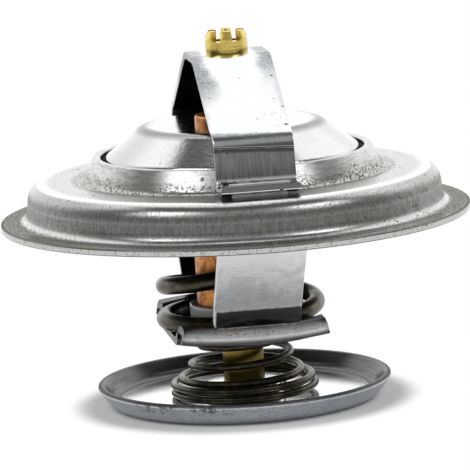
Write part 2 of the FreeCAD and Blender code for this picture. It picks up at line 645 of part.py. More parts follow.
def coil(name, wire, path_radius, path_height, turns, start, steps_per_turn=20):
    """Sweep a round wire along turns of a coil whose radius and height are functions of the turn."""
    count = int(round(turns * steps_per_turn))
    points = []
    for i in range(count + 1):
        turn = turns * i / count
        angle = math.radians(start) + 2 * math.pi * turn
        reach = path_radius(turn)
        points.append(FreeCAD.Vector(reach * math.cos(angle), reach * math.sin(angle), path_height(turn)))
    curve = Part.BSplineCurve()
    curve.interpolate(points)
    path = Part.Wire([curve.toShape()])
    tangent = curve.tangent(curve.FirstParameter)[0]
    ring = Part.Wire([Part.Circle(points[0], tangent, wire / 2).toShape()])
    shape = path.makePipeShell([ring], True, True)
    piece = doc.addObject("Part::Feature", name)
    piece.Label = name
    piece.Shape = shape
    piece.Placement = FreeCAD.Placement()
    PIECES.append(piece)
    expected = math.pi * wire ** 2 / 4 * path.Length
    if abs(shape.Volume / expected - 1) > 0.02:
        raise ValueError(f"{name}: the swept wire has {shape.Volume:.1f} cubic mm, not {expected:.1f}")


def eased(turn, turns, ramp):
    """Share of the full pitch gathered by a turn, when both ends of the coil open over the ramp."""
    def opened(t):
        return t ** 2 / (2 * ramp) if t < ramp else t - ramp / 2
    if turn <= turns / 2:
        return opened(turn)
    return 2 * opened(turns / 2) - opened(turns - turn)


def narrowed(turn, begin, stop):
    """Share of its taper that a coil has reached at a turn."""
    return min(max((turn - begin) / (stop - begin), 0.0), 1.0)


def make_springs():
    wire = number("main_wire")
    turns = number("main_turns")
    ramp = number("main_ramp")
    low = number(FLOOR_TOP) + wire / 2
    high = number(VALVE_UNDER) - wire / 2
    pitch = (high - low) / eased(turns, turns, ramp)
    reach = number(MAIN_OUTSIDE) - wire / 2
    taper = number("main_taper")
    bounds = number("main_wide"), number("main_narrowed")
    coil("main_spring", wire, lambda t: reach - taper * narrowed(t, *bounds),
         lambda t: low + pitch * eased(t, turns, ramp), turns, number("main_start"))
    thin = number("bypass_wire")
    loops = number("bypass_turns")
    wide = number("bypass_outside") - thin / 2
    narrow = number(f"{CAPSULE} - bypass_inset") - thin / 2
    begin = number("bypass_wide")
    stop = loops - number("bypass_narrow")
    closed = number("bypass_closed")
    floor = number("disc_gauge") + thin / 2
    closed_pitch = thin + FIT
    shelf = floor + closed_pitch * closed
    rise = number("capsule_bottom") - thin / 2 - shelf

    def coil_radius(turn):
        return wide - (wide - narrow) * narrowed(turn, begin, stop)

    def coil_height(turn):
        """The closed turns climb by the wire, and the rest opens slowly and then fast."""
        share = max((turn - closed) / (loops - closed), 0.0) ** SLOW_START
        return floor + closed_pitch * min(turn, closed) + rise * share ** 2 * (3 - 2 * share)

    coil("bypass_spring", thin, coil_radius, coil_height, loops, number("bypass_start"))


def check_and_write():
    faults = [f"{o.Label}: {o.State}" for o in doc.Objects if {"Invalid", "Error"} & set(o.State)]
    for piece in PIECES:
        shape = piece.Shape
        if shape.isNull() or not shape.isValid() or not shape.Solids:
            faults.append(f"{piece.Label}: its shape is not a valid solid")
    if faults:
        raise RuntimeError("; ".join(faults))
    os.makedirs("parts", exist_ok=True)
    for piece in PIECES:
        shape = piece.Shape
        box = shape.BoundBox
        print(f"{piece.Label:16s} {len(shape.Solids)} solid {shape.Volume:9.1f} mm3"
              f"  x {box.XMin:6.2f} {box.XMax:6.2f}  y {box.YMin:6.2f} {box.YMax:6.2f}"
              f"  z {box.ZMin:6.2f} {box.ZMax:6.2f}")
        shape.exportStep(f"parts/{piece.Label}.step")


make_flange()
make_valve_plate()
make_capsule()
make_bush()
make_bridge()
make_leg("leg_front", "-")
make_leg("leg_rear", "")
make_crossplate()
make_bypass_disc()
make_springs()
doc.recompute()
check_and_write()
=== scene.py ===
"""Looks of an engine thermostat, laid out as an add-on.

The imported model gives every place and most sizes. Each visible piece is worked out again as a
smooth surface with its sheet edges rounded, and gets the finish of its metal. Lengths are metres.
"""

import math

import bmesh
import bpy
import numpy as np
from mathutils import Matrix, Vector


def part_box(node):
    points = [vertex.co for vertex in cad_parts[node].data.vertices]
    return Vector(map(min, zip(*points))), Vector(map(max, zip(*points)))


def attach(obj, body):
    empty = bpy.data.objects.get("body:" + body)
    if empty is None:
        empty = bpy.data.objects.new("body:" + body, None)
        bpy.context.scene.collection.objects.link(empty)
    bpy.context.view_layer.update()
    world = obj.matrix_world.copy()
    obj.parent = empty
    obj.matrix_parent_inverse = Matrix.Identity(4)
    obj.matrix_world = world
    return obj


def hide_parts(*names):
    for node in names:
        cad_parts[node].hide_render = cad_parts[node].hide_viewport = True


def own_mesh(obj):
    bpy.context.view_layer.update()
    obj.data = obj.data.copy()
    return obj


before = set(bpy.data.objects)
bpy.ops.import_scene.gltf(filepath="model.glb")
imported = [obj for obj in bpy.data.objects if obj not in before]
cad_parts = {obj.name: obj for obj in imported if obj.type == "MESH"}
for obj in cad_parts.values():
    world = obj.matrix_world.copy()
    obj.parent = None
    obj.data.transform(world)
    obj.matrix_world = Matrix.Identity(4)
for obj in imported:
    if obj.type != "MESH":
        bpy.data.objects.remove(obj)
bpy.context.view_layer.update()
BOX = {node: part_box(node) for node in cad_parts}

bl_info = {
    "name": "Engine Thermostat Looks",
    "version": (1, 0, 0),
    "blender": (4, 5, 0),
    "location": "3D View > Sidebar > Thermostat",
    "description": "Builds the finished surfaces, metals, light and camera of an engine thermostat",
    "category": "Object",
}

MM = 0.001
SUPPORT = 0.05 * MM
ARC_STEP = math.radians(9)
TURN_STEPS = 256
FLANGE_STEPS = 320
CUP_STEPS = 96
STEM_STEPS = 80
PIN_STEPS = 64
COIL_STEPS = 72
MAIN_SIDES = 32
BYPASS_SIDES = 20
CORNER_STEPS = 6
TENT_RINGS = 24
TENT_STEPS = 64
WELD = 0.002 * MM
SHARP = math.radians(34)
NEAR_ZERO = 0.001
WHITE = (1.0, 1.0, 1.0, 1.0)
UP = Vector((0, 0, 1))
FLOOR_REACH = 3.0
FLOOR_FADE = (21.6, 26.0)
LAMP_AIM = Vector((0, 0, 0.03))
LAMPS = {
    "lamp_top": {"turn": 180, "out": 0.20, "up": 0.60, "width": 0.50, "depth": 0.36, "power": 1.05},
    "lamp_left": {"turn": -48, "out": 0.36, "up": 0.40, "width": 0.22, "depth": 0.20, "power": 0.42},
    "lamp_right": {"turn": 58, "out": 0.36, "up": 0.40, "width": 0.22, "depth": 0.20, "power": 0.36},
}


def length(name, description, millimetres):
    """A property for a length."""
    return bpy.props.FloatProperty(name=name, description=description, default=millimetres * MM,
                                   unit="LENGTH", precision=5)


def angle(name, description, degrees):
    """A property for an angle."""
    return bpy.props.FloatProperty(name=name, description=description, default=math.radians(degrees),
                                   subtype="ANGLE")


def share(name, description, value, top=1.0):
    """A property for a plain number."""
    return bpy.props.FloatProperty(name=name, description=description, default=value, min=0.0, max=top)


def colour(name, description, *rgb):
    """A property for a colour."""
    return bpy.props.FloatVectorProperty(name=name, description=description, default=rgb, size=3,
                                         subtype="COLOR", min=0.0, max=1.0)


class FlangeSizes(bpy.types.PropertyGroup):
    """Sizes of the stamped flange; its rim and collar come from the model."""
    gauge: length("Gauge", "Sheet of the flange", 1.0)
    hat_rise: length("Hat rise", "Land above the underside of the rim", 6.5)
    hat_radius: length("Hat radius", "Outside of the wall at the land", 29.25)
    wall_lean: angle("Wall lean", "Hat's wall from upright", 6.0)
    shoulder_bend: length("Shoulder bend", "Bend between the wall and the land", 2.6)
    rim_bend: length("Rim bend", "Bend between the rim and the wall", 1.8)
    edge: length("Edge", "Rounding of the sheet's edges", 0.25)
    collar_radius: length("Collar radius", "Outside of the collar at the land", 21.6)
    collar_lean: angle("Collar lean", "Collar from upright", 29.0)
    collar_bend: length("Collar bend", "Bend between the land and the collar", 1.2)
    waver: length("Waver", "How far the pressed sheet wavers", 0.03)


class ValveSizes(bpy.types.PropertyGroup):
    """Sizes of the main valve; its top and rim come from the model."""
    gauge: length("Gauge", "Sheet of the valve", 0.9)
    crest_radius: length("Crest radius", "Edge of the flat top", 12.8)
    knee_radius: length("Knee radius", "Lower edge of the cone", 18.0)
    knee_drop: length("Knee drop", "Cone's lower edge under the top", 4.05)
    skirt_radius: length("Skirt radius", "Foot of the skirt", 18.5)
    crest_bend: length("Crest bend", "Bend round the flat top", 2.6)
    knee_bend: length("Knee bend", "Bend at the knee", 0.9)
    edge: length("Edge", "Rounding of the rim", 0.15)


class CapsuleSizes(bpy.types.PropertyGroup):
    """Sizes of the copper cup, its guide and the stem; their outsides come from the model."""
    wall: length("Wall", "Wall of the cup", 0.6)
    mouth: length("Mouth", "Radius of the cup's mouth", 4.85)
    boss: length("Boss", "Radius of the guide's boss", 4.8)
    neck: length("Neck", "Radius of the guide in the valve", 4.5)
    head: length("Head", "Radius of the guide's head", 5.1)
    head_height: length("Head height", "Head above the valve", 1.2)
    head_bend: length("Head bend", "Rounding of the head", 0.4)
    bore: length("Bore", "Bore round the piston", 2.05)
    piston_tip: length("Piston tip", "Chamfer of the piston", 0.6)
    stem: length("Stem", "Radius of the brass stem", 2.94)
    rivet_height: length("Rivet height", "Height of the stem's riveted head", 1.0)


class BridgeSizes(bpy.types.PropertyGroup):
    """Sizes of the bridge; its top, width and foot come from the model."""
    gauge: length("Gauge", "Sheet of the bridge", 1.0)
    flat: length("Flat", "Half of the flat top", 4.2)
    knee_reach: length("Knee reach", "Knee from the axis", 21.0)
    knee_rise: length("Knee rise", "Knee above the land", 7.6)
    heel_reach: length("Heel reach", "Heel from the axis", 22.2)
    foot_curl: length("Foot curl", "Tip of the foot above the land", 0.85)
    heel_sink: length("Heel sink", "Corner of the heel, before its bend, under the land", 0.25)
    top_bend: length("Top bend", "Bend at the top", 4.4)
    knee_bend: length("Knee bend", "Bend at the knee", 2.3)
    heel_bend: length("Heel bend", "Inner bend at the heel", 1.6)
    edge: length("Edge", "Rounding of the sheet's edges", 0.14)


class BushSizes(bpy.types.PropertyGroup):
    """Sizes of the brass bush; its top and foot come from the model."""
    bore: length("Bore", "Bore of the crown", 1.7)
    crown: length("Crown", "Outside of the crown", 3.0)
    taper: length("Taper", "How far the crown narrows at its top", 0.45)
    taper_height: length("Taper height", "Height over which it narrows", 1.05)
    shank: length("Shank", "Radius where it passes the bridge", 2.6)
    socket: length("Socket", "Depth of the piston's seat", 1.4)
    socket_radius: length("Socket radius", "Radius of the piston's seat", 2.05)
    slot_width: length("Slot width", "Width of one slot", 1.4)
    slot_depth: length("Slot depth", "Depth of one slot", 1.45)
    turn: angle("Turn", "Angle of the first slot", -8.2)
    slots: bpy.props.IntProperty(name="Slots", description="Slots in the crown", default=6, min=2)
    edge: length("Edge", "Rounding of the edges", 0.07)


class LegSizes(bpy.types.PropertyGroup):
    """Sizes of the legs; their reach and ends come from the model."""
    gauge: length("Gauge", "Sheet of a leg", 1.0)
    width: length("Width", "Width of a leg", 12.4)
    tongue: length("Tongue", "Width of the tongues", 7.7)
    spread: length("Spread", "How far a staked end spreads to each side", 0.4)
    stake: length("Stake", "Height of a staked end", 0.4)
    bend_level: length("Bend level", "Upper bend above the ground", 25.6)
    toe_reach: length("Toe reach", "Outside of a leg at its lower bend", 16.9)
    toe_rise: length("Toe rise", "Lower bend above the crossplate", 2.9)
    bottom_reach: length("Bottom reach", "Outside of a leg at the crossplate", 15.3)
    bend: length("Bend", "Outer bend of a leg", 1.6)
    edge: length("Edge", "Rounding of the sheet's edges", 0.13)
    corner: length("Corner", "Rounding of the leg's lower corners", 0.8)


class CrossplateSizes(bpy.types.PropertyGroup):
    """Sizes of the crossplate; its level, lip and sides come from the model."""
    gauge: length("Gauge", "Sheet of the crossplate", 1.0)
    dish: length("Dish", "Corner of the sunken floor", 12.5)
    dish_slope: length("Dish slope", "Run of the slope round the floor", 0.9)
    ledge_rise: length("Ledge rise", "Raised ledge above the floor", 2.15)
    lip_drop: length("Lip drop", "Lip under the top of the ledge", 2.15)
    lip_bend: length("Lip bend", "Outer bend of the lip", 1.3)
    lip_taper: length("Lip taper", "How far each end of the ledge slopes in", 0.5)
    guide_inside: length("Guide inside", "Inside of the guide collar", 6.3)
    guide_wall: length("Guide wall", "Wall of the guide collar", 0.95)
    guide_bend: length("Guide bend", "Bend round the guide collar", 0.8)
    edge: length("Edge", "Rounding of the edges", 0.2)


class DiscSizes(bpy.types.PropertyGroup):
    """Sizes of the bypass disc; its rim comes from the model."""
    gauge: length("Gauge", "Sheet of the disc", 1.0)
    flat: length("Flat", "Corner of the floor", 19.0)
    bend: length("Bend", "Bend between the floor and the rim", 3.0)
    hub_rise: length("Hub rise", "Raised middle", 1.7)
    hub_radius: length("Hub radius", "Top of the raised middle", 5.6)
    hub_slope: length("Hub slope", "Run of the slope round the hub", 1.2)
    hole: length("Hole", "Hole round the stem", 3.04)
    edge: length("Edge", "Rounding of the rim", 0.42)


class SpringSizes(bpy.types.PropertyGroup):
    """Sizes of the two coils; the top of the bypass coil comes from the model."""
    main_wire: length("Main wire", "Wire of the main spring", 2.5)
    main_outside: length("Main outside", "Outside of the main spring", 12.1)
    main_turns: share("Main turns", "Turns of the main spring", 3.8, 20.0)
    main_ramp: share("Main ramp", "Turns over which each end opens", 1.6, 5.0)
    main_start: angle("Main start", "Angle of the lower end", 118.0)
    main_taper: length("Main taper", "Upper turns inside the lowest turn", 1.75)
    main_wide: share("Main wide", "Turns before it narrows", 0.7, 20.0)
    main_narrowed: share("Main narrowed", "Turns until it has narrowed", 1.6, 20.0)
    main_lean: length("Main lean", "How far the upper turns stand to the left", 1.5)
    main_foot: length("Main foot", "Seat of the main spring above the ground", 11.05)
    main_head: length("Main head", "Underside of the valve above the ground", 39.4)
    wire: length("Wire", "Wire of the bypass spring", 1.1)
    wide: length("Wide", "Outside of the lowest turn", 10.65)
    narrow: length("Narrow", "Outside of the highest turn", 5.95)
    turns: share("Turns", "Turns of the bypass spring", 4.7, 20.0)
    closed: share("Closed", "Turns that lie on each other at its foot", 1.5, 5.0)
    wide_turns: share("Wide turns", "Turns before it narrows", 1.2, 5.0)
    narrow_turns: share("Narrow turns", "Turns after it has narrowed", 0.3, 5.0)
    start: angle("Start", "Angle of the lower end", 172.0)
    slow: share("Slow start", "How slowly the open turns begin to climb", 1.15, 3.0)
    gap: length("Gap", "Gap between the closed turns", 0.05)


class Finishes(bpy.types.PropertyGroup):
    """Colours of the metals and of what lies on them, and the colours that paint shade and highlights."""
    flange: colour("Flange", "Stamped steel of the flange", 0.60, 0.60, 0.595)
    bridge: colour("Bridge", "Rolled steel of the bridge", 0.75, 0.76, 0.77)
    valve: colour("Valve", "Pressed steel of the valve", 0.69, 0.69, 0.685)
    leg: colour("Leg", "Rolled steel of the legs and crossplate", 0.82, 0.82, 0.83)
    disc: colour("Disc", "Pressed steel of the bypass disc", 0.50, 0.52, 0.55)
    # The disc's floor, painted brighter than its steel as a painted highlight.
    floor_plate_highlight: colour("Floor plate", "Bright floor of the bypass disc", 0.86, 0.86, 0.86)
    # Also painted as shade on the flange's shoulder, rim and corner at the sides, and on the valve's sides
    # and crest.
    worn: colour("Worn", "Dull worn steel", 0.15, 0.148, 0.14)
    # Also painted over the bridge's knee bend as painted shade.
    blue_grey: colour("Blue grey", "Rolled skin of the sheet", 0.24, 0.265, 0.29)
    # Painted shade only: the bridge's knee band, the crossplate lip's foot and the disc's inner wall.
    umber_shade: colour("Umber", "Brown black film", 0.055, 0.05, 0.045)
    ground: colour("Ground", "Ground steel of the piston", 0.72, 0.72, 0.73)
    spring: colour("Spring", "Dark wire of the springs", 0.060, 0.053, 0.038)
    spring_worn: colour("Worn spring", "Wire where it has worn", 0.15, 0.135, 0.09)
    brass: colour("Brass", "Turned brass", 0.80, 0.60, 0.16)
    brass_dark: colour("Dark brass", "Browned brass", 0.24, 0.165, 0.03)
    copper: colour("Copper", "Drawn copper", 0.60, 0.25, 0.075)
    copper_dark: colour("Dark copper", "Browned copper", 0.20, 0.075, 0.035)
    rubber: colour("Rubber", "Rubber boot", 0.035, 0.035, 0.035)
    plastic: colour("Plastic", "Seal washer", 0.85, 0.83, 0.78)
    wax: colour("Wax", "Wax with copper powder", 0.55, 0.35, 0.20)
    grime: colour("Grime", "Olive brown grime", 0.10, 0.085, 0.04)
    # Dark pits, and also painted shade on undersides, inner faces, the legs' lower bend, the crossplate
    # under the spring, creases and the bridge's foot.
    pit_and_shade: colour("Pit", "Dark pits", 0.014, 0.0135, 0.013)
    rust: colour("Rust", "Brown stain", 0.24, 0.13, 0.06)
    # A painted highlight: the line along the flange's land edge and the patch on the crossplate's guide
    # collar.
    painted_highlight: colour("Polish", "Steel rubbed bright", 0.88, 0.88, 0.88)
    # A dull olive film, also laid as painted shade on the flange's rim and fillet at the sides and on its
    # outer corner.
    dust_and_shade: colour("Dust", "Dull olive film", 0.14, 0.136, 0.112)
    # A dull dark film, also laid as painted shade on the valve's crest, the crossplate lip's foot and the
    # disc's inner wall.
    soot_and_shade: colour("Soot", "Dull dark film", 0.06, 0.06, 0.06)


class StageSizes(bpy.types.PropertyGroup):
    """Camera and light of the studio."""
    azimuth: angle("Azimuth", "Turn of the camera round the object", -8.2)
    elevation: angle("Elevation", "Camera above the horizon", 9.26)
    roll: angle("Roll", "Tilt of the camera", 3.13)
    distance: length("Distance", "Camera from its target", 637.0)
    aim_up: length("Aim up", "Target above the ground", 23.87)
    aim_side: length("Aim side", "Target to the right of the axis", -0.25)
    lens: share("Lens", "Focal length in millimetres", 341.6, 1000.0)
    floor: colour("Floor", "Pale floor", 0.95, 0.95, 0.95)
    room: share("Room", "Light of the room on the object", 0.66)
    tent: length("Tent", "Radius of the tent that metal reflects", 900.0)
    tent_power: share("Tent power", "Light of the tent's white part", 1.35, 5.0)
    tent_dark: share("Tent dark", "Share of it that the dark front gives", 0.09)
    tent_front: share("Tent front", "Share of it that the band over the camera gives", 0.34)


GROUPS = {
    "flange": FlangeSizes, "valve": ValveSizes, "capsule": CapsuleSizes, "bridge": BridgeSizes,
    "bush": BushSizes, "leg": LegSizes, "crossplate": CrossplateSizes, "disc": DiscSizes,
    "spring": SpringSizes, "finish": Finishes, "stage": StageSizes,
}


def sizes(group):
    """The scene's property group of that name."""
    return getattr(bpy.context.scene, f"thermostat_{group}")


def unit(vectors):
    """Each row divided by its length."""
    return vectors / np.linalg.norm(vectors, axis=-1, keepdims=True)


def rounded(corners, closed=True):
    """Points along straight sides that meet in arcs.

    A corner is (across, up) or (across, up, bend). Its arc has the radius bend and touches both
    sides, so it starts bend / tan(half the angle between them) before the corner. A long side gets
    a point close to each of its ends, which keeps the shading of the arcs off it.
    """
    spots = np.array([corner[:2] for corner in corners], float)
    count = len(corners)
    parts = []
    for i, corner in enumerate(corners):
        here = spots[i]
        if len(corner) == 2:
            parts.append(here[None])
            continue
        bend = corner[2]
        back = unit(spots[i - 1] - here)
        ahead = unit(spots[(i + 1) % count] - here)
        half = math.acos(np.clip(back @ ahead, -1, 1)) / 2
        centre = here + unit(back + ahead) * bend / math.sin(half)
        start = here + back * bend / math.tan(half) - centre
        across = np.array([-start[1], start[0]])
        side = -np.sign(across @ back)
        turn = math.pi - 2 * half
        swing = side * np.linspace(0, turn, max(3, math.ceil(turn / ARC_STEP)) + 1)[:, None]
        parts.append(centre + start * np.cos(swing) + across * np.sin(swing))
    line = []
    for i, part in enumerate(parts):
        line.append(part)
        if not closed and i == count - 1:
            break
        start, end = part[-1], parts[(i + 1) % count][0]
        run = np.linalg.norm(end - start)
        if run > 6 * SUPPORT:
            near = np.array([SUPPORT, run - SUPPORT])[:, None] / run
            line.append(start + (end - start) * near)
    return np.concatenate(line)


def grid_faces(rows, columns, wrap_rows=True, wrap_columns=True):
    """Quads between neighbours of a grid whose points are stored row by row."""
    row = np.arange(rows if wrap_rows else rows - 1)[:, None]
    column = np.arange(columns if wrap_columns else columns - 1)[None, :]
    next_row = (row + 1) % rows
    next_column = (column + 1) % columns
    corners = [row * columns + column, next_row * columns + column,
               next_row * columns + next_column, row * columns + next_column]
    return np.stack(np.broadcast_arrays(*corners), -1).reshape(-1, 4)


def fan_faces(ring, pole):
    """Triangles from each side of a ring of points to one pole."""
    return np.stack([ring, np.roll(ring, -1), np.full_like(ring, pole)], -1)


def turned(profile, closed=True, steps=TURN_STEPS, waver=0.0):
    """A profile of (radius, height) turned about Z: the point (r cos a, r sin a, z) for each angle a.

    An open profile starts and ends on the axis, where each end is one point. The waver lowers the
    height by a slow wave of the angle, sin(3a + 1) + sin(5a) / 2, as pressed sheet has.
    """
    angles = np.arange(steps) * 2 * math.pi / steps
    ring = profile if closed else profile[1:-1]
    radius, height = ring[:, :1], ring[:, 1:]
    wave = waver * (np.sin(3 * angles + 1) + np.sin(5 * angles) / 2 - 1.5) / 2
    points = np.stack([radius * np.cos(angles), radius * np.sin(angles),
                       height + wave * (radius > 0)], -1).reshape(-1, 3)
    faces = grid_faces(len(ring), steps, wrap_rows=closed).tolist()
    if not closed:
        poles = np.array([[0, 0, profile[0, 1]], [0, 0, profile[-1, 1]]])
        first = np.arange(steps)
        last = first + (len(ring) - 1) * steps
        faces += fan_faces(first[::-1], len(points)).tolist()
        faces += fan_faces(last, len(points) + 1).tolist()
        points = np.concatenate([points, poles])
    return points, faces


def capped_grid(points):
    """Faces of a tube of (stations, ring) points, closed at both ends by fans to the rings' middles."""
    stations, ring, _ = points.shape
    flat = points.reshape(-1, 3)
    faces = grid_faces(stations, ring, wrap_rows=False).tolist()
    first = np.arange(ring)
    last = first + (stations - 1) * ring
    faces += fan_faces(first[::-1], len(flat)).tolist()
    faces += fan_faces(last, len(flat) + 1).tolist()
    middles = np.stack([points[0].mean(0), points[-1].mean(0)])
    return np.concatenate([flat, middles]), faces


def wire(path, radius, sides):
    """A round wire: circles in the plane of the path's level normal and of its binormal.

    The level normal is the tangent crossed with Z, and the binormal is that crossed with the
    tangent. At each end three circles shrink as 1 - cos to round the cut.
    """
    tangent = unit(np.gradient(path, axis=0))
    level = unit(np.cross(tangent, [0, 0, 1]))
    binormal = np.cross(level, tangent)
    around = np.arange(sides) * 2 * math.pi / sides
    scale = np.ones(len(path))
    lead = np.array([0.80, 0.93, 0.985])
    scale[:3], scale[-3:] = lead, lead[::-1]
    spokes = (level[:, None] * np.cos(around)[None, :, None]
              + binormal[:, None] * np.sin(around)[None, :, None])
    return capped_grid(path[:, None] + spokes * (radius * scale)[:, None, None])


def strip(outer, half_width, gauge, edge, across=13):
    """A band of sheet: a rounded rectangle carried along the line (y, z) of its outer face.

    The middle of the sheet lies half a gauge inside the line, along the normal that is the tangent
    turned by a right angle. The half width has a value at each point of the line, and the last
    three sections of each end shrink to round the cut.
    """
    tangent = unit(np.gradient(outer, axis=0))
    normal = np.stack([-tangent[:, 1], tangent[:, 0]], -1)
    middle = outer - normal * gauge / 2
    quarter = np.linspace(math.pi / 2, 0, 4)
    side_x = np.concatenate([np.cos(quarter), np.cos(quarter[::-1])]) * edge
    side_b = np.concatenate([gauge / 2 - edge + np.sin(quarter) * edge,
                             -(gauge / 2 - edge) - np.sin(quarter[::-1]) * edge])
    inset = 1 - SUPPORT / half_width.min()
    level = np.concatenate([[-1], np.linspace(-inset, inset, across), [1]])
    shrink = np.zeros(len(outer))
    shrink[:3] = [edge, edge * 0.3, edge * 0.07]
    shrink[-3:] = shrink[:3][::-1]
    flat = (half_width - edge - shrink)[:, None]
    high = (gauge / 2 - shrink)[:, None]
    squeeze = high / (gauge / 2)
    x = np.concatenate([flat * level, flat + side_x, flat * -level, -flat - side_x[::-1]], 1)
    b = np.concatenate([high + 0 * flat * level, side_b * squeeze, -high + 0 * flat * level,
                        side_b[::-1] * squeeze], 1)
    y = middle[:, :1] + normal[:, :1] * b
    z = middle[:, 1:] + normal[:, 1:] * b
    return capped_grid(np.stack([x, y, z], -1))


def outward(points, faces):
    """The faces, turned over if the volume that they enclose comes out negative."""
    volume = 0.0
    for size in (3, 4):
        group = np.array([face for face in faces if len(face) == size])
        if len(group):
            a, b, c = points[group[:, 0]], points[group[:, 1]], points[group[:, 2]]
            volume += np.einsum("ij,ij->", a, np.cross(b, c))
            if size == 4:
                volume += np.einsum("ij,ij->", a, np.cross(c, points[group[:, 3]]))
    return faces if volume > 0 else [face[::-1] for face in faces]


def add_mesh(name, points, faces, material):
    """An object with that mesh and material."""
    mesh = bpy.data.meshes.new(name)
    mesh.from_pydata(points.tolist(), [], faces)
    mesh.materials.append(material)
    made = bpy.data.objects.new(name, mesh)
    bpy.context.scene.collection.objects.link(made)
    return made


def add_piece(name, shape, body, node, slot, merge=False):
    """A smooth closed mesh that rides on a body and stands for the model's node."""
    points, faces = shape
    piece = add_mesh(name, points, outward(points, faces), metal(slot))
    mesh = piece.data
    if merge:
        work = bmesh.new()
        work.from_mesh(mesh)
        bmesh.ops.remove_doubles(work, verts=work.verts, dist=WELD)
        bmesh.ops.dissolve_degenerate(work, dist=WELD / 2, edges=work.edges)
        bmesh.ops.recalc_face_normals(work, faces=work.faces)
        work.to_mesh(mesh)
        work.free()
    mesh.validate()
    mesh.shade_smooth()
    mesh.set_sharp_from_angle(angle=SHARP)
    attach(piece, body)
    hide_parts(node)
    return piece


def add_turned(name, corners, body, node, slot, steps=TURN_STEPS, waver=0.0):
    """A piece turned from corners, which run from the axis back to it or close round a hole."""
    closed = corners[0][0] > 0
    add_piece(name, turned(rounded(corners, closed), closed, steps, waver), body, node, slot)


class Signal:
    """A socket that gives a value; arithmetic on it adds Math nodes to its material."""

    def __init__(self, finish, socket):
        self.finish = finish
        self.socket = socket

    def maths(self, operation, *others):
        values = dict(enumerate([self, *others]))
        return self.finish.out(self.finish.node("ShaderNodeMath", {"operation": operation}, values))

    def __add__(self, other):
        return self.maths("ADD", other)

    def __sub__(self, other):
        return self.maths("SUBTRACT", other)

    def __rsub__(self, other):
        return self.maths("MULTIPLY_ADD", -1.0, other)

    def __neg__(self):
        return self.maths("MULTIPLY", -1.0)

    def __abs__(self):
        return self.maths("ABSOLUTE")

    def __mul__(self, other):
        return self.maths("MULTIPLY", other)

    def __truediv__(self, other):
        return self.maths("DIVIDE", other)

    def __lt__(self, other):
        return self.maths("LESS_THAN", other)

    def most(self, other):
        return self.maths("MAXIMUM", other)

    def least(self, other):
        return self.maths("MINIMUM", other)

    __radd__ = __add__
    __rmul__ = __mul__


def axis_distance(x, y):
    """Distance of a spot from the axis, kept off zero so that it can divide."""
    return (x * x + y * y).maths("SQRT") + NEAR_ZERO


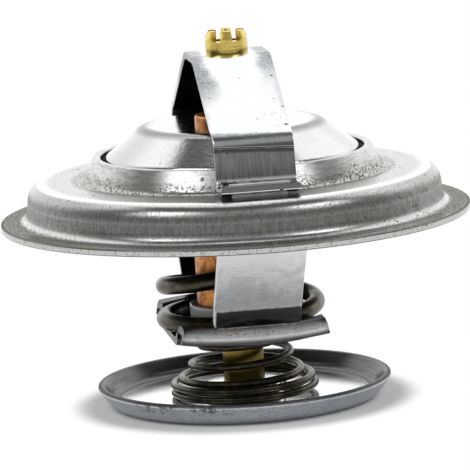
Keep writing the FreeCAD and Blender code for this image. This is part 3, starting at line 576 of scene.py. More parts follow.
class Finish:
    """The node tree of one material or of the world, and the patterns that the metals share.

    Places and sizes on the metals are millimetres: z above the ground, radius and reach from the
    axis. A mask is 1 on the part of the piece that it is named for and 0 elsewhere.
    """

    def __init__(self, name, world=None):
        self.owner = world or bpy.data.materials.new(name)
        self.owner.use_nodes = True
        self.tree = self.owner.node_tree
        self.tree.nodes.clear()

    def node(self, kind, settings=(), values=()):
        """A node of that type, with its settings set first and then its sockets."""
        made = self.tree.nodes.new(kind)
        for key, value in dict(settings).items():
            setattr(made, key, value)
        for key, value in dict(values).items():
            self.plug(self.socket(made.inputs, key), value)
        return made

    @staticmethod
    def socket(sockets, key):
        """A socket by its number or its identifier."""
        if isinstance(key, int):
            return sockets[key]
        return next(socket for socket in sockets if socket.identifier == key)

    def plug(self, socket, value):
        if isinstance(value, Signal):
            self.tree.links.new(value.socket, socket)
        elif socket.type == "RGBA" and len(value) == 3:
            socket.default_value = (*value, 1.0)
        else:
            socket.default_value = value

    def out(self, node, key=0):
        return Signal(self, self.socket(node.outputs, key))

    def place(self):
        """Object coordinates in millimetres."""
        return self.scaled(self.out(self.node("ShaderNodeTexCoord"), "Object"), [1 / MM] * 3)

    def scaled(self, vector, factors):
        return self.out(self.node("ShaderNodeVectorMath", {"operation": "MULTIPLY"},
                                  {0: vector, 1: tuple(factors)}))

    def split(self, vector):
        parts = self.node("ShaderNodeSeparateXYZ", {}, {0: vector})
        return [self.out(parts, i) for i in range(3)]

    def ringed(self, vector, around, along):
        """Coordinates for marks that run round the axis: (x/r, y/r) times around, (r + z) times along."""
        x, y, z = self.split(vector)
        radius = axis_distance(x, y)
        parts = {0: x / radius * around, 1: y / radius * around, 2: (radius + z) * along}
        return self.out(self.node("ShaderNodeCombineXYZ", {}, parts))

    def noise(self, vector, size, detail=3.0, roughness=0.5, distortion=0.0):
        """Noise from 0 to 1 whose lumps have about that size in the vector's units."""
        made = self.node("ShaderNodeTexNoise", {}, {
            "Vector": vector, "Scale": 1.0 / size, "Detail": detail, "Roughness": roughness,
            "Distortion": distortion})
        return self.out(made)

    def grained(self, vector, size):
        """A fine grain of that size, and the specks that stand out of it."""
        grain = self.noise(vector, size, 2.0, 0.6)
        return grain, self.step(grain, 0.50, 0.60)

    def step(self, value, start, end):
        """A smooth step from 0 at the start to 1 at the end, whichever of them is higher."""
        made = self.node("ShaderNodeMapRange", {"interpolation_type": "SMOOTHSTEP"},
                         {"Value": value, "From Min": start, "From Max": end})
        return self.out(made)

    def band(self, value, low, high, soft):
        """1 between low and high and 0 outside, with soft sides."""
        return self.step(value, low - soft, low + soft) * self.step(value, high + soft, high - soft)

    def spots(self, vector, size, radius, kept):
        """Round spots, at most one in each cell of that size; kept is the share of cells that have one."""
        made = self.node("ShaderNodeTexVoronoi", {"feature": "F1"}, {"Vector": vector, "Scale": 1.0 / size})
        draw, other, _ = self.split(self.out(made, "Color"))
        distance = self.out(made, "Distance")
        reach = radius / size
        spot = self.step(distance / (other * 0.7 + 0.3), reach, reach * 0.55)
        return spot * (draw < kept)

    def mix(self, factor, first, second):
        made = self.node("ShaderNodeMix", {"data_type": "RGBA"},
                         {"Factor_Float": factor, "A_Color": first, "B_Color": second})
        return self.out(made, "Result_Color")

    def painted(self, base, *layers):
        """The base colour under layers of (share, colour), from the lowest to the highest."""
        for factor, tone in layers:
            base = self.mix(factor, base, tone)
        return base

    def bump(self, height, distance):
        values = {"Height": height, "Distance": distance * MM}
        return self.out(self.node("ShaderNodeBump", {}, values), "Normal")

    def facing(self):
        """The three parts of the direction that the surface faces."""
        return self.split(self.out(self.node("ShaderNodeTexCoord"), "Normal"))

    def painted_shade(self, spot, level):
        """Painted shade: 1 on what faces down, and on what faces the axis under that level."""
        x, y, z = self.split(spot)
        across, along, up = self.facing()
        inward = -((x * across + y * along) / axis_distance(x, y))
        inside = self.step(inward, 0.3, 0.6) * self.step(z, level, level - 0.3)
        return self.step(-up, 0.3, 0.6).most(inside)

    def shaded_inner_face(self, spot):
        """Painted shade: 1 on the side of bent sheet that faces down or towards the middle."""
        y = self.split(spot)[1]
        inward = -(y / (abs(y) + NEAR_ZERO) * self.facing()[1])
        return self.step(inward, 0.25, 0.5)

    def around(self, x, y, degrees):
        """A soft spot, 1 at that angle round the axis and 0 at 25 degrees from it."""
        heading = math.radians(degrees)
        along = (x * math.cos(heading) + y * math.sin(heading)) / axis_distance(x, y)
        return self.step(along, math.cos(math.radians(25)), 0.995)

    def seen(self):
        """1 for what the camera sees, straight or in the metal, and 0 for the light on the object."""
        rays = self.node("ShaderNodeLightPath")
        return (self.out(rays, "Is Camera Ray") + self.out(rays, "Is Glossy Ray")
                + self.out(rays, "Is Transmission Ray")).least(1.0)

    def blend(self, factor, first, second):
        """The second shader over the first."""
        return self.out(self.node("ShaderNodeMixShader", {}, {0: factor, 1: first, 2: second}))

    def output(self, shader, kind="Material"):
        """Ends the tree with that shader and returns what the tree belongs to."""
        self.node(f"ShaderNodeOutput{kind}", {}, {"Surface": shader})
        return self.owner

    def surface(self, base, rough, height, depth=0.015, metallic=1.0, film=None, dust_and_shade=None):
        """The whole surface, with bumps of that depth in millimetres.

        The film is the share of the metal that a dull coat of that colour hides: a dusty film, and in
        places painted shade.
        """
        shader = self.out(self.node("ShaderNodeBsdfPrincipled", {}, {
            "Base Color": base, "Metallic": metallic, "Roughness": rough,
            "Normal": self.bump(height, depth)}))
        if film is not None:
            coat = self.node("ShaderNodeBsdfPrincipled", {}, {
                "Base Color": dust_and_shade, "Roughness": 0.9, "Specular IOR Level": 0.0})
            shader = self.blend(film, shader, self.out(coat))
        return self.output(shader)


def begun(name):
    """A new finish, the place in millimetres, its three parts, and the colours of the metals."""
    f = Finish(name)
    spot = f.place()
    return f, spot, f.split(spot), sizes("finish")


def stamped_steel():
    """The flange: pitted drawn steel with a dull streaked wall, speckled land and grime at the collar, and
    painted shade and highlights.
    """
    f, spot, (x, y, z), tones = begun("stamped_steel")
    radius = axis_distance(x, y)
    # Painted shade on the flange's underside and on the inside of its wall.
    painted_shade = f.painted_shade(spot, 32.3)
    cloud = f.noise(spot, 6.0, 4.0, 0.6)
    fine, specks = f.grained(spot, 0.34)
    coarse = f.noise(spot, 1.3, 4.0, 0.65)
    streak = f.noise(f.ringed(spot, 9.0, 6.0), 1.0, 4.0, 0.6)
    upright = f.noise(f.scaled(spot, (3.2, 3.2, 0.30)), 1.0, 3.0, 0.6)
    outside = f.step(radius, 28.4, 29.2)
    wall = outside * f.step(z, 28.1, 28.6) * f.step(z, 32.2, 30.9)
    # A lighter line painted along the top of the wall, where it starts to bend: a painted highlight.
    line = outside * f.band(z, 30.15, 30.45, 0.12)
    shoulder = f.step(radius, 27.6, 28.3) * f.step(z, 30.6, 31.4)
    land = f.band(radius, 22.5, 26.6, 0.6) * f.step(z, 32.6, 32.9)
    # A painted highlight: the bright line along the land's edge.
    painted_highlight = f.band(radius, 27.2, 28.0, 0.3) * f.step(z, 32.2, 32.6)
    collar = f.step(radius, 21.6, 21.0) * f.step(z, 33.1, 33.5)
    foot = f.band(radius, 20.9, 23.0, 0.5) * f.step(z, 32.6, 32.9)
    near = f.around(x, y, -38.0)
    right = f.around(x, y, -54.0)
    # The left and right as the camera sees them: there the shoulder, rim and fillet get painted shade.
    side = f.step(abs(x) / radius, 0.60, 0.90)
    fillet = outside * f.band(z, 27.6, 28.3, 0.2)
    rim = outside * f.step(z, 27.9, 27.5)
    rim_top = rim * f.step(z, 27.36, 27.46)
    # The rim's outer corner, painted as a dark line of painted shade.
    corner = f.step(radius, 33.20, 33.28) * f.step(z, 27.22, 27.30)
    patches = f.step(coarse, 0.44, 0.60)
    dark_specks = f.step(fine, 0.56, 0.62) * f.step(cloud, 0.44, 0.60)
    soiled = foot * (0.15 + specks * 0.40)
    grime = (foot * (0.30 + patches * 0.5 + near * 0.6) * specks
             + near * f.band(radius, 20.6, 22.6, 0.5) * specks * f.step(coarse, 0.48, 0.58)
             + (rim_top + fillet) * (0.15 + patches * 0.6) * dark_specks
             + (wall + fillet) * right * specks * f.step(coarse, 0.50, 0.62) * 0.9
             + wall * dark_specks * patches * 0.6).least(1.0)
    pits = (f.spots(spot, 1.5, 0.30, 0.30) * f.step(cloud, 0.47, 0.58)
            + f.spots(spot, 3.6, 0.46, 0.30) * f.step(f.noise(spot, 8.0, 2.0), 0.46, 0.56)
            + f.spots(spot, 1.1, 0.24, 0.45) * right * (wall + fillet)).least(1.0)
    # Worn specks, and painted shade on the rim's top at the left and right and on its outer corner.
    wear_and_shade = ((land * 0.45 + collar * 0.15 + shoulder * 0.40 + wall * 0.35 + rim * 0.35) * specks
            * (1 - painted_highlight) + rim_top * (0.10 + side * 0.45) + soiled + corner * 0.6)
    base = f.painted(
        tones.flange,
        (cloud * 0.5, [0.82 * tone for tone in tones.flange]),
        (f.step(upright, 0.36, 0.66) * wall * 0.34 + wall * 0.42, tones.worn),
        # The painted highlight along the wall's top.
        (line * 0.35, tones.flange),
        # The shoulder darker: worn, and more at the left and right as painted shade.
        (shoulder * (0.15 + side * 0.32) * (1 - painted_highlight), tones.worn),
        # The painted highlight along the land's edge.
        (painted_highlight * 0.6, tones.painted_highlight),
        (wear_and_shade, tones.worn),
        (collar * f.step(streak, 0.45, 0.64) * 0.38, tones.worn),
        (grime, tones.grime),
        (pits, tones.pit_and_shade),
        # Painted shade underneath and inside.
        (painted_shade * 0.93, tones.pit_and_shade),
    )
    rough = (0.16 + cloud * 0.08 + wall * 0.20 + land * 0.10 + collar * 0.08 + specks * 0.05
             + grime * 0.3 + pits * 0.3)
    height = (streak * (0.2 + collar * 0.1) + upright * wall * 0.4 + coarse * shoulder * 0.35
              + fine * (0.45 - foot * 0.34 - collar * 0.2) + grime * 0.15 - pits * 2.0)
    # A dull film: a dusty one where soiled and specked, and painted shade on the rim's corner and on the
    # rim and fillet at the left and right.
    film = (corner * 0.5 + rim_top * (side * 0.66 + specks * 0.25) + fillet * side * specks * 0.35
            + soiled + land * specks * 0.1 + wall * 0.20 + pits * 0.8).least(0.95) * (1 - painted_shade)
    metallic = 1 - (grime * 0.75 + pits * 0.9).least(0.95) * (1 - painted_shade)
    return f.surface(base, rough, height, 0.018, metallic, film, tones.dust_and_shade)


def bridge_steel():
    """The bridge: bright rolled sheet with dark pits, a pressed line at the knee and a drawn face, with
    painted shade on its inner faces, knee and foot.
    """
    f, spot, (x, y, z), tones = begun("bridge_steel")
    reach = abs(y)
    # Painted shade on the strap's inner faces.
    painted_shade = f.shaded_inner_face(spot)
    level = z + x * 0.045
    outer = f.step(reach, 18.6, 19.4) * (1 - painted_shade)
    fine, specks = f.grained(spot, 0.32)
    coarse = f.noise(spot, 1.1, 4.0, 0.65)
    grain = f.noise(f.scaled(spot, (5.0, 0.4, 0.30)), 1.0, 4.0, 0.6)
    cloud = f.noise(spot, 4.0, 3.0, 0.6)
    ragged = level + (coarse - 0.5) * 0.5
    # Bands painted over the knee bend as painted shade: a speckled grey band where it starts, a dark line
    # in the pressed line, a dark band under it, and grey over the whole bend.
    knee_grey_shade = outer * f.band(ragged, 40.65, 41.15, 0.14)
    crease = outer * f.band(level, 39.27, 39.43, 0.06)
    knee_dark_shade = outer * f.band(ragged, 38.65, 39.25, 0.10)
    knee = outer * f.band(ragged, 39.3, 41.2, 0.2)
    face = outer * f.step(level, 39.0, 38.7) * f.step(z, 34.9, 35.5)
    # The top of the foot, painted dark and mottled as a painted reflection.
    foot = outer * f.step(ragged, 35.0, 34.7) * f.step(reach, 25.8, 25.5)
    low_dark = face * f.step(z, 37.6, 35.3)
    pits = (f.spots(spot, 1.0, 0.24, 0.34) * f.step(f.noise(spot, 4.0, 2.0), 0.50, 0.60)
            + f.spots(f.scaled(spot, (1.0, 1.6, 1.6)), 2.3, 0.42, 0.20)).least(1.0)
    cluster = f.step(x, 1.2, 3.4) * f.band(z, 41.4, 43.8, 0.7) * (1 - painted_shade)
    pits = (pits + f.spots(spot, 0.55, 0.15, 0.42) * cluster).least(1.0)
    corner = (f.step(z - x * 0.25, 45.0, 49.0) * f.step(abs(x) + (cloud - 0.5) * 4.0, 2.8, 4.6)
              * (1 - painted_shade))
    sides = f.step(abs(x) + (cloud - 0.5) * 3.0, 4.6, 6.3) * f.step(z, 41.0, 43.0) * (1 - painted_shade)
    base = f.painted(
        tones.bridge,
        (cloud * 0.3, [0.86 * tone for tone in tones.bridge]),
        (corner * (0.55 + specks * 0.35), tones.blue_grey),
        (sides * (0.40 + specks * 0.15), tones.blue_grey),
        # Painted shade over the knee bend: grey over the bend, a speckled grey band where it starts and a
        # dark band lower down.
        (knee * (0.35 + specks * 0.15), tones.blue_grey),
        (knee_grey_shade * (0.40 + specks * 0.5), tones.blue_grey),
        (knee_dark_shade * 0.8, tones.umber_shade),
        (face * (0.15 + f.step(grain, 0.35, 0.68) * 0.40) + low_dark * 0.3, tones.worn),
        # Painted reflection on the foot's top.
        (foot * f.step(coarse, 0.42, 0.54) * 0.9, tones.pit_and_shade),
        # Dark pits, and the pressed line painted dark as painted shade.
        ((pits + crease).least(1.0), tones.pit_and_shade),
        # Painted shade on the inner faces.
        (painted_shade * 0.94, tones.pit_and_shade),
    )
    rough = 0.13 + cloud * 0.06 + face * 0.18 + knee_grey_shade * 0.15 + knee_dark_shade * 0.2 + foot * 0.1 + pits * 0.4
    height = (grain * (0.1 + face * 0.9) + fine * (0.12 + knee_grey_shade * 0.5 + foot * 0.4) - pits * 1.4
              - crease * 3.0 - knee_dark_shade * 0.8)
    film = corner * (0.30 + specks * 0.15)
    metallic = 1 - (pits * 0.85 + crease * 0.7).least(0.9) * (1 - painted_shade)
    return f.surface(base, rough, height, 0.015, metallic, film, tones.worn)


def valve_steel():
    """The main valve: smooth pressed steel, duller at its foot, with a few dark nicks, and painted shade
    underneath, at its sides and over its crest.
    """
    f, spot, (x, y, z), tones = begun("valve_steel")
    # Painted shade on what faces down.
    painted_shade = f.step(-f.facing()[2], 0.2, 0.6)
    fine, specks = f.grained(spot, 0.34)
    cloud = f.noise(spot, 6.0, 3.0, 0.55)
    rings = f.noise(f.ringed(spot, 3.0, 5.0), 1.0, 3.0, 0.6)
    grain = f.noise(spot, 0.7, 3.0, 0.65)
    radius = axis_distance(x, y)
    # The crest, darkened as a painted reflection: a grey band.
    crest = f.band(radius, 12.0, 13.5, 0.6)
    foot = f.step(z + (cloud - 0.5) * 1.5, 35.4, 34.2)
    # The left and right as the camera sees them, which get painted shade.
    side = f.step(abs(x) / radius, 0.78, 0.97)
    pits = f.spots(spot, 2.4, 0.22, 0.14)
    base = f.painted(
        tones.valve,
        (f.step(cloud, 0.5, 0.75) * 0.3, (0.50, 0.495, 0.48)),
        # The foot worn, and the crest darkened as a painted reflection.
        (foot * (0.15 + specks * 0.4) + crest * (0.55 + specks * 0.15), tones.worn),
        # Painted shade at the left and right.
        (side * 0.32, tones.worn),
        (f.step(fine, 0.57, 0.63) * foot * 0.6 + specks * 0.10, tones.grime),
        (pits, tones.pit_and_shade),
        # Painted shade underneath.
        (painted_shade * 0.93, tones.pit_and_shade),
    )
    rough = 0.10 + cloud * 0.05 + foot * 0.12 + pits * 0.3
    height = rings * 0.2 + fine * 0.45 + grain * 1.6 - pits
    # A dull dark film over the crest, part of its painted reflection.
    return f.surface(base, rough, height, 0.012, 1 - pits * 0.8, crest * 0.30, tones.soot_and_shade)


def leg_steel():
    """Legs and crossplate: dull mottled sheet, painted black over the toe as shade, with nicks and rust at
    the joint, more painted shade and a painted highlight.
    """
    f, spot, (x, y, z), tones = begun("leg_steel")
    reach = abs(y)
    # Painted shade on the inner faces.
    painted_shade = f.shaded_inner_face(spot)
    fine, specks = f.grained(spot, 0.32)
    coarse = f.noise(spot, 1.0, 4.0, 0.65)
    cloud = f.noise(spot, 3.0, 4.0, 0.6, 0.6)
    grain = f.noise(f.scaled(spot, (0.5, 4.0, 4.0)), 1.0, 3.0, 0.6)
    plate = f.step(z, 13.45, 13.25)
    leg = 1 - plate
    # The leg's lower bend, painted black as a painted reflection of the shaded crossplate below.
    toe = (leg * f.step(z + (coarse - 0.5) * 0.35, 16.15, 15.75) * f.step(x, -6.0, -5.8)
           * f.step(reach, 11.0, 12.0))
    top = leg * f.band(z + (cloud - 0.5) * 1.4, 25.4, 27.0, 0.35)
    bright = leg * f.band(z, 23.6, 25.2, 0.5)
    radius = axis_distance(x, y)
    turn_x, turn_y, _ = f.facing()
    outwards = (turn_x * x + turn_y * y) / radius
    lip = plate * f.step(outwards, 0.45, 0.85) * f.step(radius, 15.9, 16.3)
    # The foot of the lip, painted dark as painted shade under its bend.
    lip_foot = lip * f.step(z, 12.0, 11.2)
    # Thin dark lines painted in the crossplate's creases as painted shade.
    crease = (f.band(radius + (coarse - 0.5) * 0.5, 15.9, 16.05, 0.06)
              + f.band(radius + (fine - 0.5) * 0.7, 14.9, 15.1, 0.06)) * plate * f.step(z, 12.6, 12.8)
    near_leg = f.band(x, -6.4, 6.4, 0.4) * f.band(z, 12.3, 13.9, 0.2) * f.step(reach, 14.9, 15.2)
    rust = near_leg * f.step(coarse, 0.50, 0.58) * f.step(fine, 0.47, 0.56)
    pits = (f.spots(spot, 2.0, 0.20, 0.18) + f.spots(f.scaled(spot, (0.55, 1.0, 1.5)), 3.2, 0.30, 0.16)
            + crease * 0.9).least(1.0)
    smear = f.step(cloud, 0.47, 0.62) * (0.8 + plate * 0.2)
    # The crossplate's top behind its front lip, under the spring, painted black as painted shade.
    rear = plate * f.step(y, -14.5, -12.5) * f.step(radius, 7.7, 7.9)
    # A painted highlight: a light patch on the guide collar.
    guide = f.band(radius, 6.9, 7.7, 0.15) * f.step(z, 11.9, 12.1)
    face = leg * (1 - toe) * (1 - painted_shade)
    base = f.painted(
        tones.leg,
        (smear * 0.30, tones.blue_grey),
        (specks * 0.14 + f.step(grain, 0.45, 0.65) * 0.12, tones.worn),
        (top * 0.5, tones.worn),
        # Painted shade at the lip's foot.
        (lip_foot * 0.9, tones.umber_shade),
        (bright * 0.5, tones.leg),
        (rust * 0.75, tones.rust),
        # Dark pits, and the toe painted black as a painted reflection.
        ((pits * 0.9 + toe * 0.96).least(1.0), tones.pit_and_shade),
        # Painted shade on the inner faces and on the crossplate under the spring.
        (painted_shade.most(rear) * 0.92, tones.pit_and_shade),
        # The painted highlight on the guide collar.
        (guide * 0.9, tones.painted_highlight),
    )
    rough = 0.26 + cloud * 0.12 + rust * 0.4 + pits * 0.2 + plate * 0.04 - toe * 0.12
    height = grain * 0.30 + fine * 0.35 + rust * 1.0 - pits * 1.2 + smear * 0.3
    # Less metal where rusted and pitted, and on the guide collar's painted highlight.
    dull = rust * 0.8 + pits * 0.7 + face * 0.35 + plate * (1 - rear) * 0.45 + guide * 0.4
    # The lip's foot also gets a dark film as painted shade.
    return f.surface(base, rough, height, 0.015, 1 - dull.least(0.95), lip_foot * 0.6, tones.soot_and_shade)


def disc_steel():
    """The bypass disc: blue grey pressed steel with a scuffed rim, its floor painted bright as a highlight
    and its inner wall painted dark as shade.
    """
    f, spot, (x, y, z), tones = begun("disc_steel")
    radius = axis_distance(x, y)
    turn_x, turn_y, up = f.facing()
    outwards = (turn_x * x + turn_y * y) / radius
    # The inner wall, painted dark as a painted reflection of the flange's shaded underside.
    inner = f.step(-outwards, 0.04, 0.20) * f.step(radius, 15.6, 16.4)
    top = f.step(radius, 20.2, 20.5) * f.step(up, 0.1, 0.5)
    outer = f.step(outwards, 0.1, 0.4) * f.step(radius, 17.6, 18.6)
    fine, specks = f.grained(spot, 0.34)
    coarse = f.noise(spot, 1.4, 4.0, 0.65)
    cloud = f.noise(spot, 5.0, 4.0, 0.6)
    rings = f.noise(f.ringed(spot, 4.0, 5.0), 1.0, 4.0, 0.6)
    marks = outer * f.around(x, y, -124.0) * f.step(coarse, 0.52, 0.58) * f.step(z, 1.6, 2.1)
    pits = (f.spots(spot, 1.3, 0.20, 0.22) * f.step(cloud, 0.5, 0.62) * outer
            + f.spots(spot, 3.0, 0.25, 0.15) + marks * 0.9).least(1.0)
    # A dull dark film over the rim's top, and over the inner wall as part of its painted shade.
    film = (top * 0.75 + inner * (0.30 + f.step(rings, 0.40, 0.64) * 0.25)).least(0.9)
    base = f.painted(
        # The floor painted bright as a painted highlight.
        tones.floor_plate_highlight,
        (outer + inner * 0.4, tones.disc),
        # The inner wall painted dark as painted shade.
        (inner * 0.78, tones.umber_shade),
        (top * 0.75, tones.worn),
        (specks * (0.12 + outer * 0.22), tones.worn),
        (pits * 0.9, tones.pit_and_shade),
    )
    rough = 0.12 + outer * 0.16 + inner * 0.08 + cloud * 0.08 + pits * 0.3
    height = rings * 0.25 + fine * (0.15 + outer * 0.4) + coarse * outer * 0.5 - pits * 1.2
    return f.surface(base, rough, height, 0.015, 1 - pits * 0.8, film, tones.soot_and_shade)


def spring_steel():
    """Spring wire: dark oiled scale, olive brown where it has worn."""
    f, spot, _, tones = begun("spring_steel")
    fine = f.noise(spot, 0.32, 3.0, 0.65)
    cloud = f.noise(spot, 1.8, 4.0, 0.6)
    worn = f.step(cloud, 0.45, 0.68)
    base = f.painted(
        tones.spring,
        (worn * 0.8, tones.spring_worn),
        (f.step(fine, 0.52, 0.66) * 0.6, tones.pit_and_shade),
    )
    rough = 0.24 + fine * 0.16 - worn * 0.04
    height = fine * 0.6 + cloud * 0.4
    return f.surface(base, rough, height, 0.02, metallic=0.92)


def turned_brass():
    """Brass of the bush and the stem, with turning marks and brown in the corners."""
    f, spot, (_, _, z), tones = begun("turned_brass")
    fine = f.noise(spot, 0.34, 3.0, 0.6)
    cloud = f.noise(spot, 1.6, 3.0, 0.6)
    rings = f.noise(f.ringed(spot, 1.5, 9.0), 1.0, 4.0, 0.6)
    stem = f.step(z, 20.0, 10.0)
    foot = f.band(z, 49.9, 50.8, 0.25)
    stain = (f.step(cloud, 0.45, 0.70) * 0.35 + foot * 0.45 + stem * 0.75).least(0.97)
    base = f.painted(
        tones.brass,
        (stain, tones.brass_dark),
        (f.step(rings, 0.52, 0.66) * 0.3, tones.brass_dark),
    )
    rough = 0.18 + fine * 0.12 + stem * 0.08
    height = rings * 0.8 + fine * 0.3
    return f.surface(base, rough, height)


def drawn_copper():
    """Copper of the cup and the guide, streaked round and along and browned in patches."""
    f, spot, _, tones = begun("drawn_copper")
    fine = f.noise(spot, 0.36, 3.0, 0.6)
    cloud = f.noise(f.scaled(spot, (1.0, 1.0, 1.8)), 2.4, 4.0, 0.65, 0.8)
    streak = f.noise(f.scaled(spot, (0.6, 0.6, 3.0)), 1.0, 3.0, 0.6, 0.5)
    dark = f.step(cloud, 0.46, 0.62)
    base = f.painted(
        tones.copper,
        (dark * 0.75, tones.copper_dark),
        (f.step(streak, 0.5, 0.75) * 0.35, (0.76, 0.40, 0.16)),
        (f.step(fine, 0.52, 0.64) * 0.25, tones.copper_dark),
    )
    rough = 0.26 + fine * 0.15 + dark * 0.12
    height = streak * 0.4 + fine * 0.4
    return f.surface(base, rough, height)


def ground_steel():
    """Ground steel of the piston, with fine rings."""
    f, spot, _, tones = begun("ground_steel")
    rings = f.noise(f.ringed(spot, 1.0, 14.0), 1.0, 3.0, 0.5)
    fine = f.noise(spot, 0.8, 3.0, 0.5)
    base = f.mix(fine * 0.4, tones.ground, (0.55, 0.55, 0.56))
    return f.surface(base, 0.12 + rings * 0.12, rings, 0.006)


def plain_stuff(name, tone, rough):
    """Rubber, plastic and wax inside the cup: a mottled plain colour."""
    f = Finish(name)
    spot = f.place()
    cloud = f.noise(spot, 0.8, 4.0, 0.6)
    base = f.mix(cloud * 0.6, tone, [0.7 * part for part in tone])
    return f.surface(base, rough + cloud * 0.1, cloud, 0.02, metallic=0.0)


MAKERS = {
    "stamped_steel": stamped_steel, "bridge_steel": bridge_steel, "valve_steel": valve_steel,
    "leg_steel": leg_steel, "disc_steel": disc_steel, "spring_steel": spring_steel,
    "brass": turned_brass, "copper": drawn_copper, "ground_steel": ground_steel,
    "boot_rubber": lambda: plain_stuff("moulded_rubber", sizes("finish").rubber, 0.5),
    "seal_plastic": lambda: plain_stuff("seal_plastic", sizes("finish").plastic, 0.35),
    "wax": lambda: plain_stuff("copper_wax", sizes("finish").wax, 0.6),
}
MADE = {}


def metal(slot):
    """The material of a slot, made once."""
    if slot not in MADE:
        MADE[slot] = MAKERS[slot]()
    return MADE[slot]


class THERMOSTAT_OT_flange(bpy.types.Operator):
    """Build the stamped flange: rim, wall, shoulder, land and upturned collar"""
    bl_idname = "thermostat.flange"
    bl_label = "Flange"

    def execute(self, context):
        s = sizes("flange")
        low, high = BOX["flange"]
        rim = high.x
        land = low.z + s.hat_rise
        collar_rise = high.z - land
        wall_run = math.tan(s.wall_lean)
        wall = s.gauge / math.cos(s.wall_lean)
        collar_run = math.tan(s.collar_lean)
        inner = s.collar_radius - s.gauge / math.cos(s.collar_lean)
        add_turned("flange_sheet", [
            (rim, low.z, s.edge), (rim, low.z + s.gauge, s.edge),
            (s.hat_radius + (s.hat_rise - s.gauge) * wall_run, low.z + s.gauge, s.rim_bend),
            (s.hat_radius, land, s.shoulder_bend), (s.collar_radius, land, s.collar_bend),
            (s.collar_radius - collar_rise * collar_run, high.z, s.edge),
            (inner - collar_rise * collar_run, high.z, s.edge),
            (inner + s.gauge * collar_run, land - s.gauge, s.collar_bend + s.gauge),
            (s.hat_radius + s.gauge * wall_run - wall, land - s.gauge, s.shoulder_bend - s.gauge),
            (s.hat_radius + s.hat_rise * wall_run - wall, low.z, s.rim_bend + s.gauge),
        ], "frame", "flange", "stamped_steel", FLANGE_STEPS, s.waver)
        return {"FINISHED"}


class THERMOSTAT_OT_valve(bpy.types.Operator):
    """Build the domed main valve"""
    bl_idname = "thermostat.valve"
    bl_label = "Main valve"

    def execute(self, context):
        s = sizes("valve")
        low, high = BOX["valve_plate"]
        seat = low.z + s.gauge
        knee = high.z - s.knee_drop
        rim = high.x - s.gauge * math.tan(sizes("flange").collar_lean)
        hole = sizes("capsule").neck
        add_turned("main_valve", [
            (hole, high.z - s.gauge), (hole, high.z), (s.crest_radius, high.z, s.crest_bend),
            (s.knee_radius, knee, s.knee_bend), (s.skirt_radius, seat, s.edge), (rim, seat, s.edge),
            (high.x, low.z), (s.skirt_radius - s.gauge, low.z, s.gauge),
            (s.knee_radius - s.gauge, knee - s.gauge / 2),
            (s.crest_radius - s.gauge / 2, high.z - s.gauge, s.crest_bend - s.gauge),
        ], "element", "valve_plate", "valve_steel")
        return {"FINISHED"}


class THERMOSTAT_OT_capsule(bpy.types.Operator):
    """Build the copper cup, its guide, the piston and the brass stem"""
    bl_idname = "thermostat.capsule"
    bl_label = "Wax capsule"

    def execute(self, context):
        s = sizes("capsule")
        low, high = BOX["capsule_cup"]
        add_turned("copper_cup", [
            (0, low.z), (high.x, low.z, s.wall), (high.x, high.z, s.wall), (s.mouth, high.z),
            (s.mouth, high.z - s.wall), (high.x - s.wall, high.z - s.wall),
            (high.x - s.wall, low.z + s.wall), (0, low.z + s.wall),
        ], "element", "capsule_cup", "copper", CUP_STEPS)

        foot, top = BOX["capsule_guide"]
        seat = high.z - s.wall
        valve_top = top.z - s.head_height
        valve_under = valve_top - sizes("valve").gauge
        add_turned("copper_guide", [
            (s.bore, foot.z), (top.x, foot.z), (top.x, seat), (s.boss, seat), (s.boss, valve_under),
            (s.neck, valve_under), (s.neck, valve_top), (s.head, valve_top),
            (s.head, top.z, s.head_bend), (s.bore, top.z, s.head_bend / 2),
        ], "element", "capsule_guide", "copper", CUP_STEPS)

        foot, top = BOX["piston"]
        add_turned("piston_pin", [
            (0, foot.z), (top.x - s.piston_tip, foot.z), (top.x, foot.z + s.piston_tip),
            (top.x, top.z - s.piston_tip), (top.x - s.piston_tip, top.z), (0, top.z),
        ], "frame", "piston", "ground_steel", PIN_STEPS)

        foot, top = BOX["bypass_stem"]
        rivet_top = foot.z + s.rivet_height
        add_turned("brass_stem", [
            (0, foot.z), (top.x, foot.z, s.rivet_height / 2), (top.x, rivet_top),
            (s.stem, rivet_top), (s.stem, top.z), (0, top.z),
        ], "element", "bypass_stem", "brass", STEM_STEPS)
        return {"FINISHED"}


def crowned(profile, slots, slot_width, slot_floor, first, columns=9):
    """A turned profile with parallel slots cut into its top.

    Each sector has the columns of a tooth and then those of a slot. At the radius r a slot's side
    stands at the angle asin(half its width / r) from its middle, and in a slot no point is higher
    than its floor.
    """
    radius, height = profile[:, :1], profile[:, 1:]
    side = np.arcsin(np.minimum(slot_width / 2 / radius, 1.0))
    sector = math.pi / slots
    level = np.linspace(-1, 1, columns)
    middles = first - sector + np.arange(slots) * 2 * sector
    tooth = middles[:, None, None] + (sector - side)[None] * level
    slot = middles[:, None, None] + sector + side[None] * level
    angles = np.concatenate([tooth, slot], 2)
    floors = np.concatenate([np.full(columns, np.inf), np.full(columns, slot_floor)])
    heights = np.broadcast_to(np.minimum(height, floors)[None], angles.shape)
    angles = angles.transpose(1, 0, 2).reshape(len(profile), -1)
    heights = heights.transpose(1, 0, 2).reshape(len(profile), -1)
    points = np.stack([radius * np.cos(angles), radius * np.sin(angles), heights], -1)
    return points.reshape(-1, 3), grid_faces(*angles.shape).tolist()


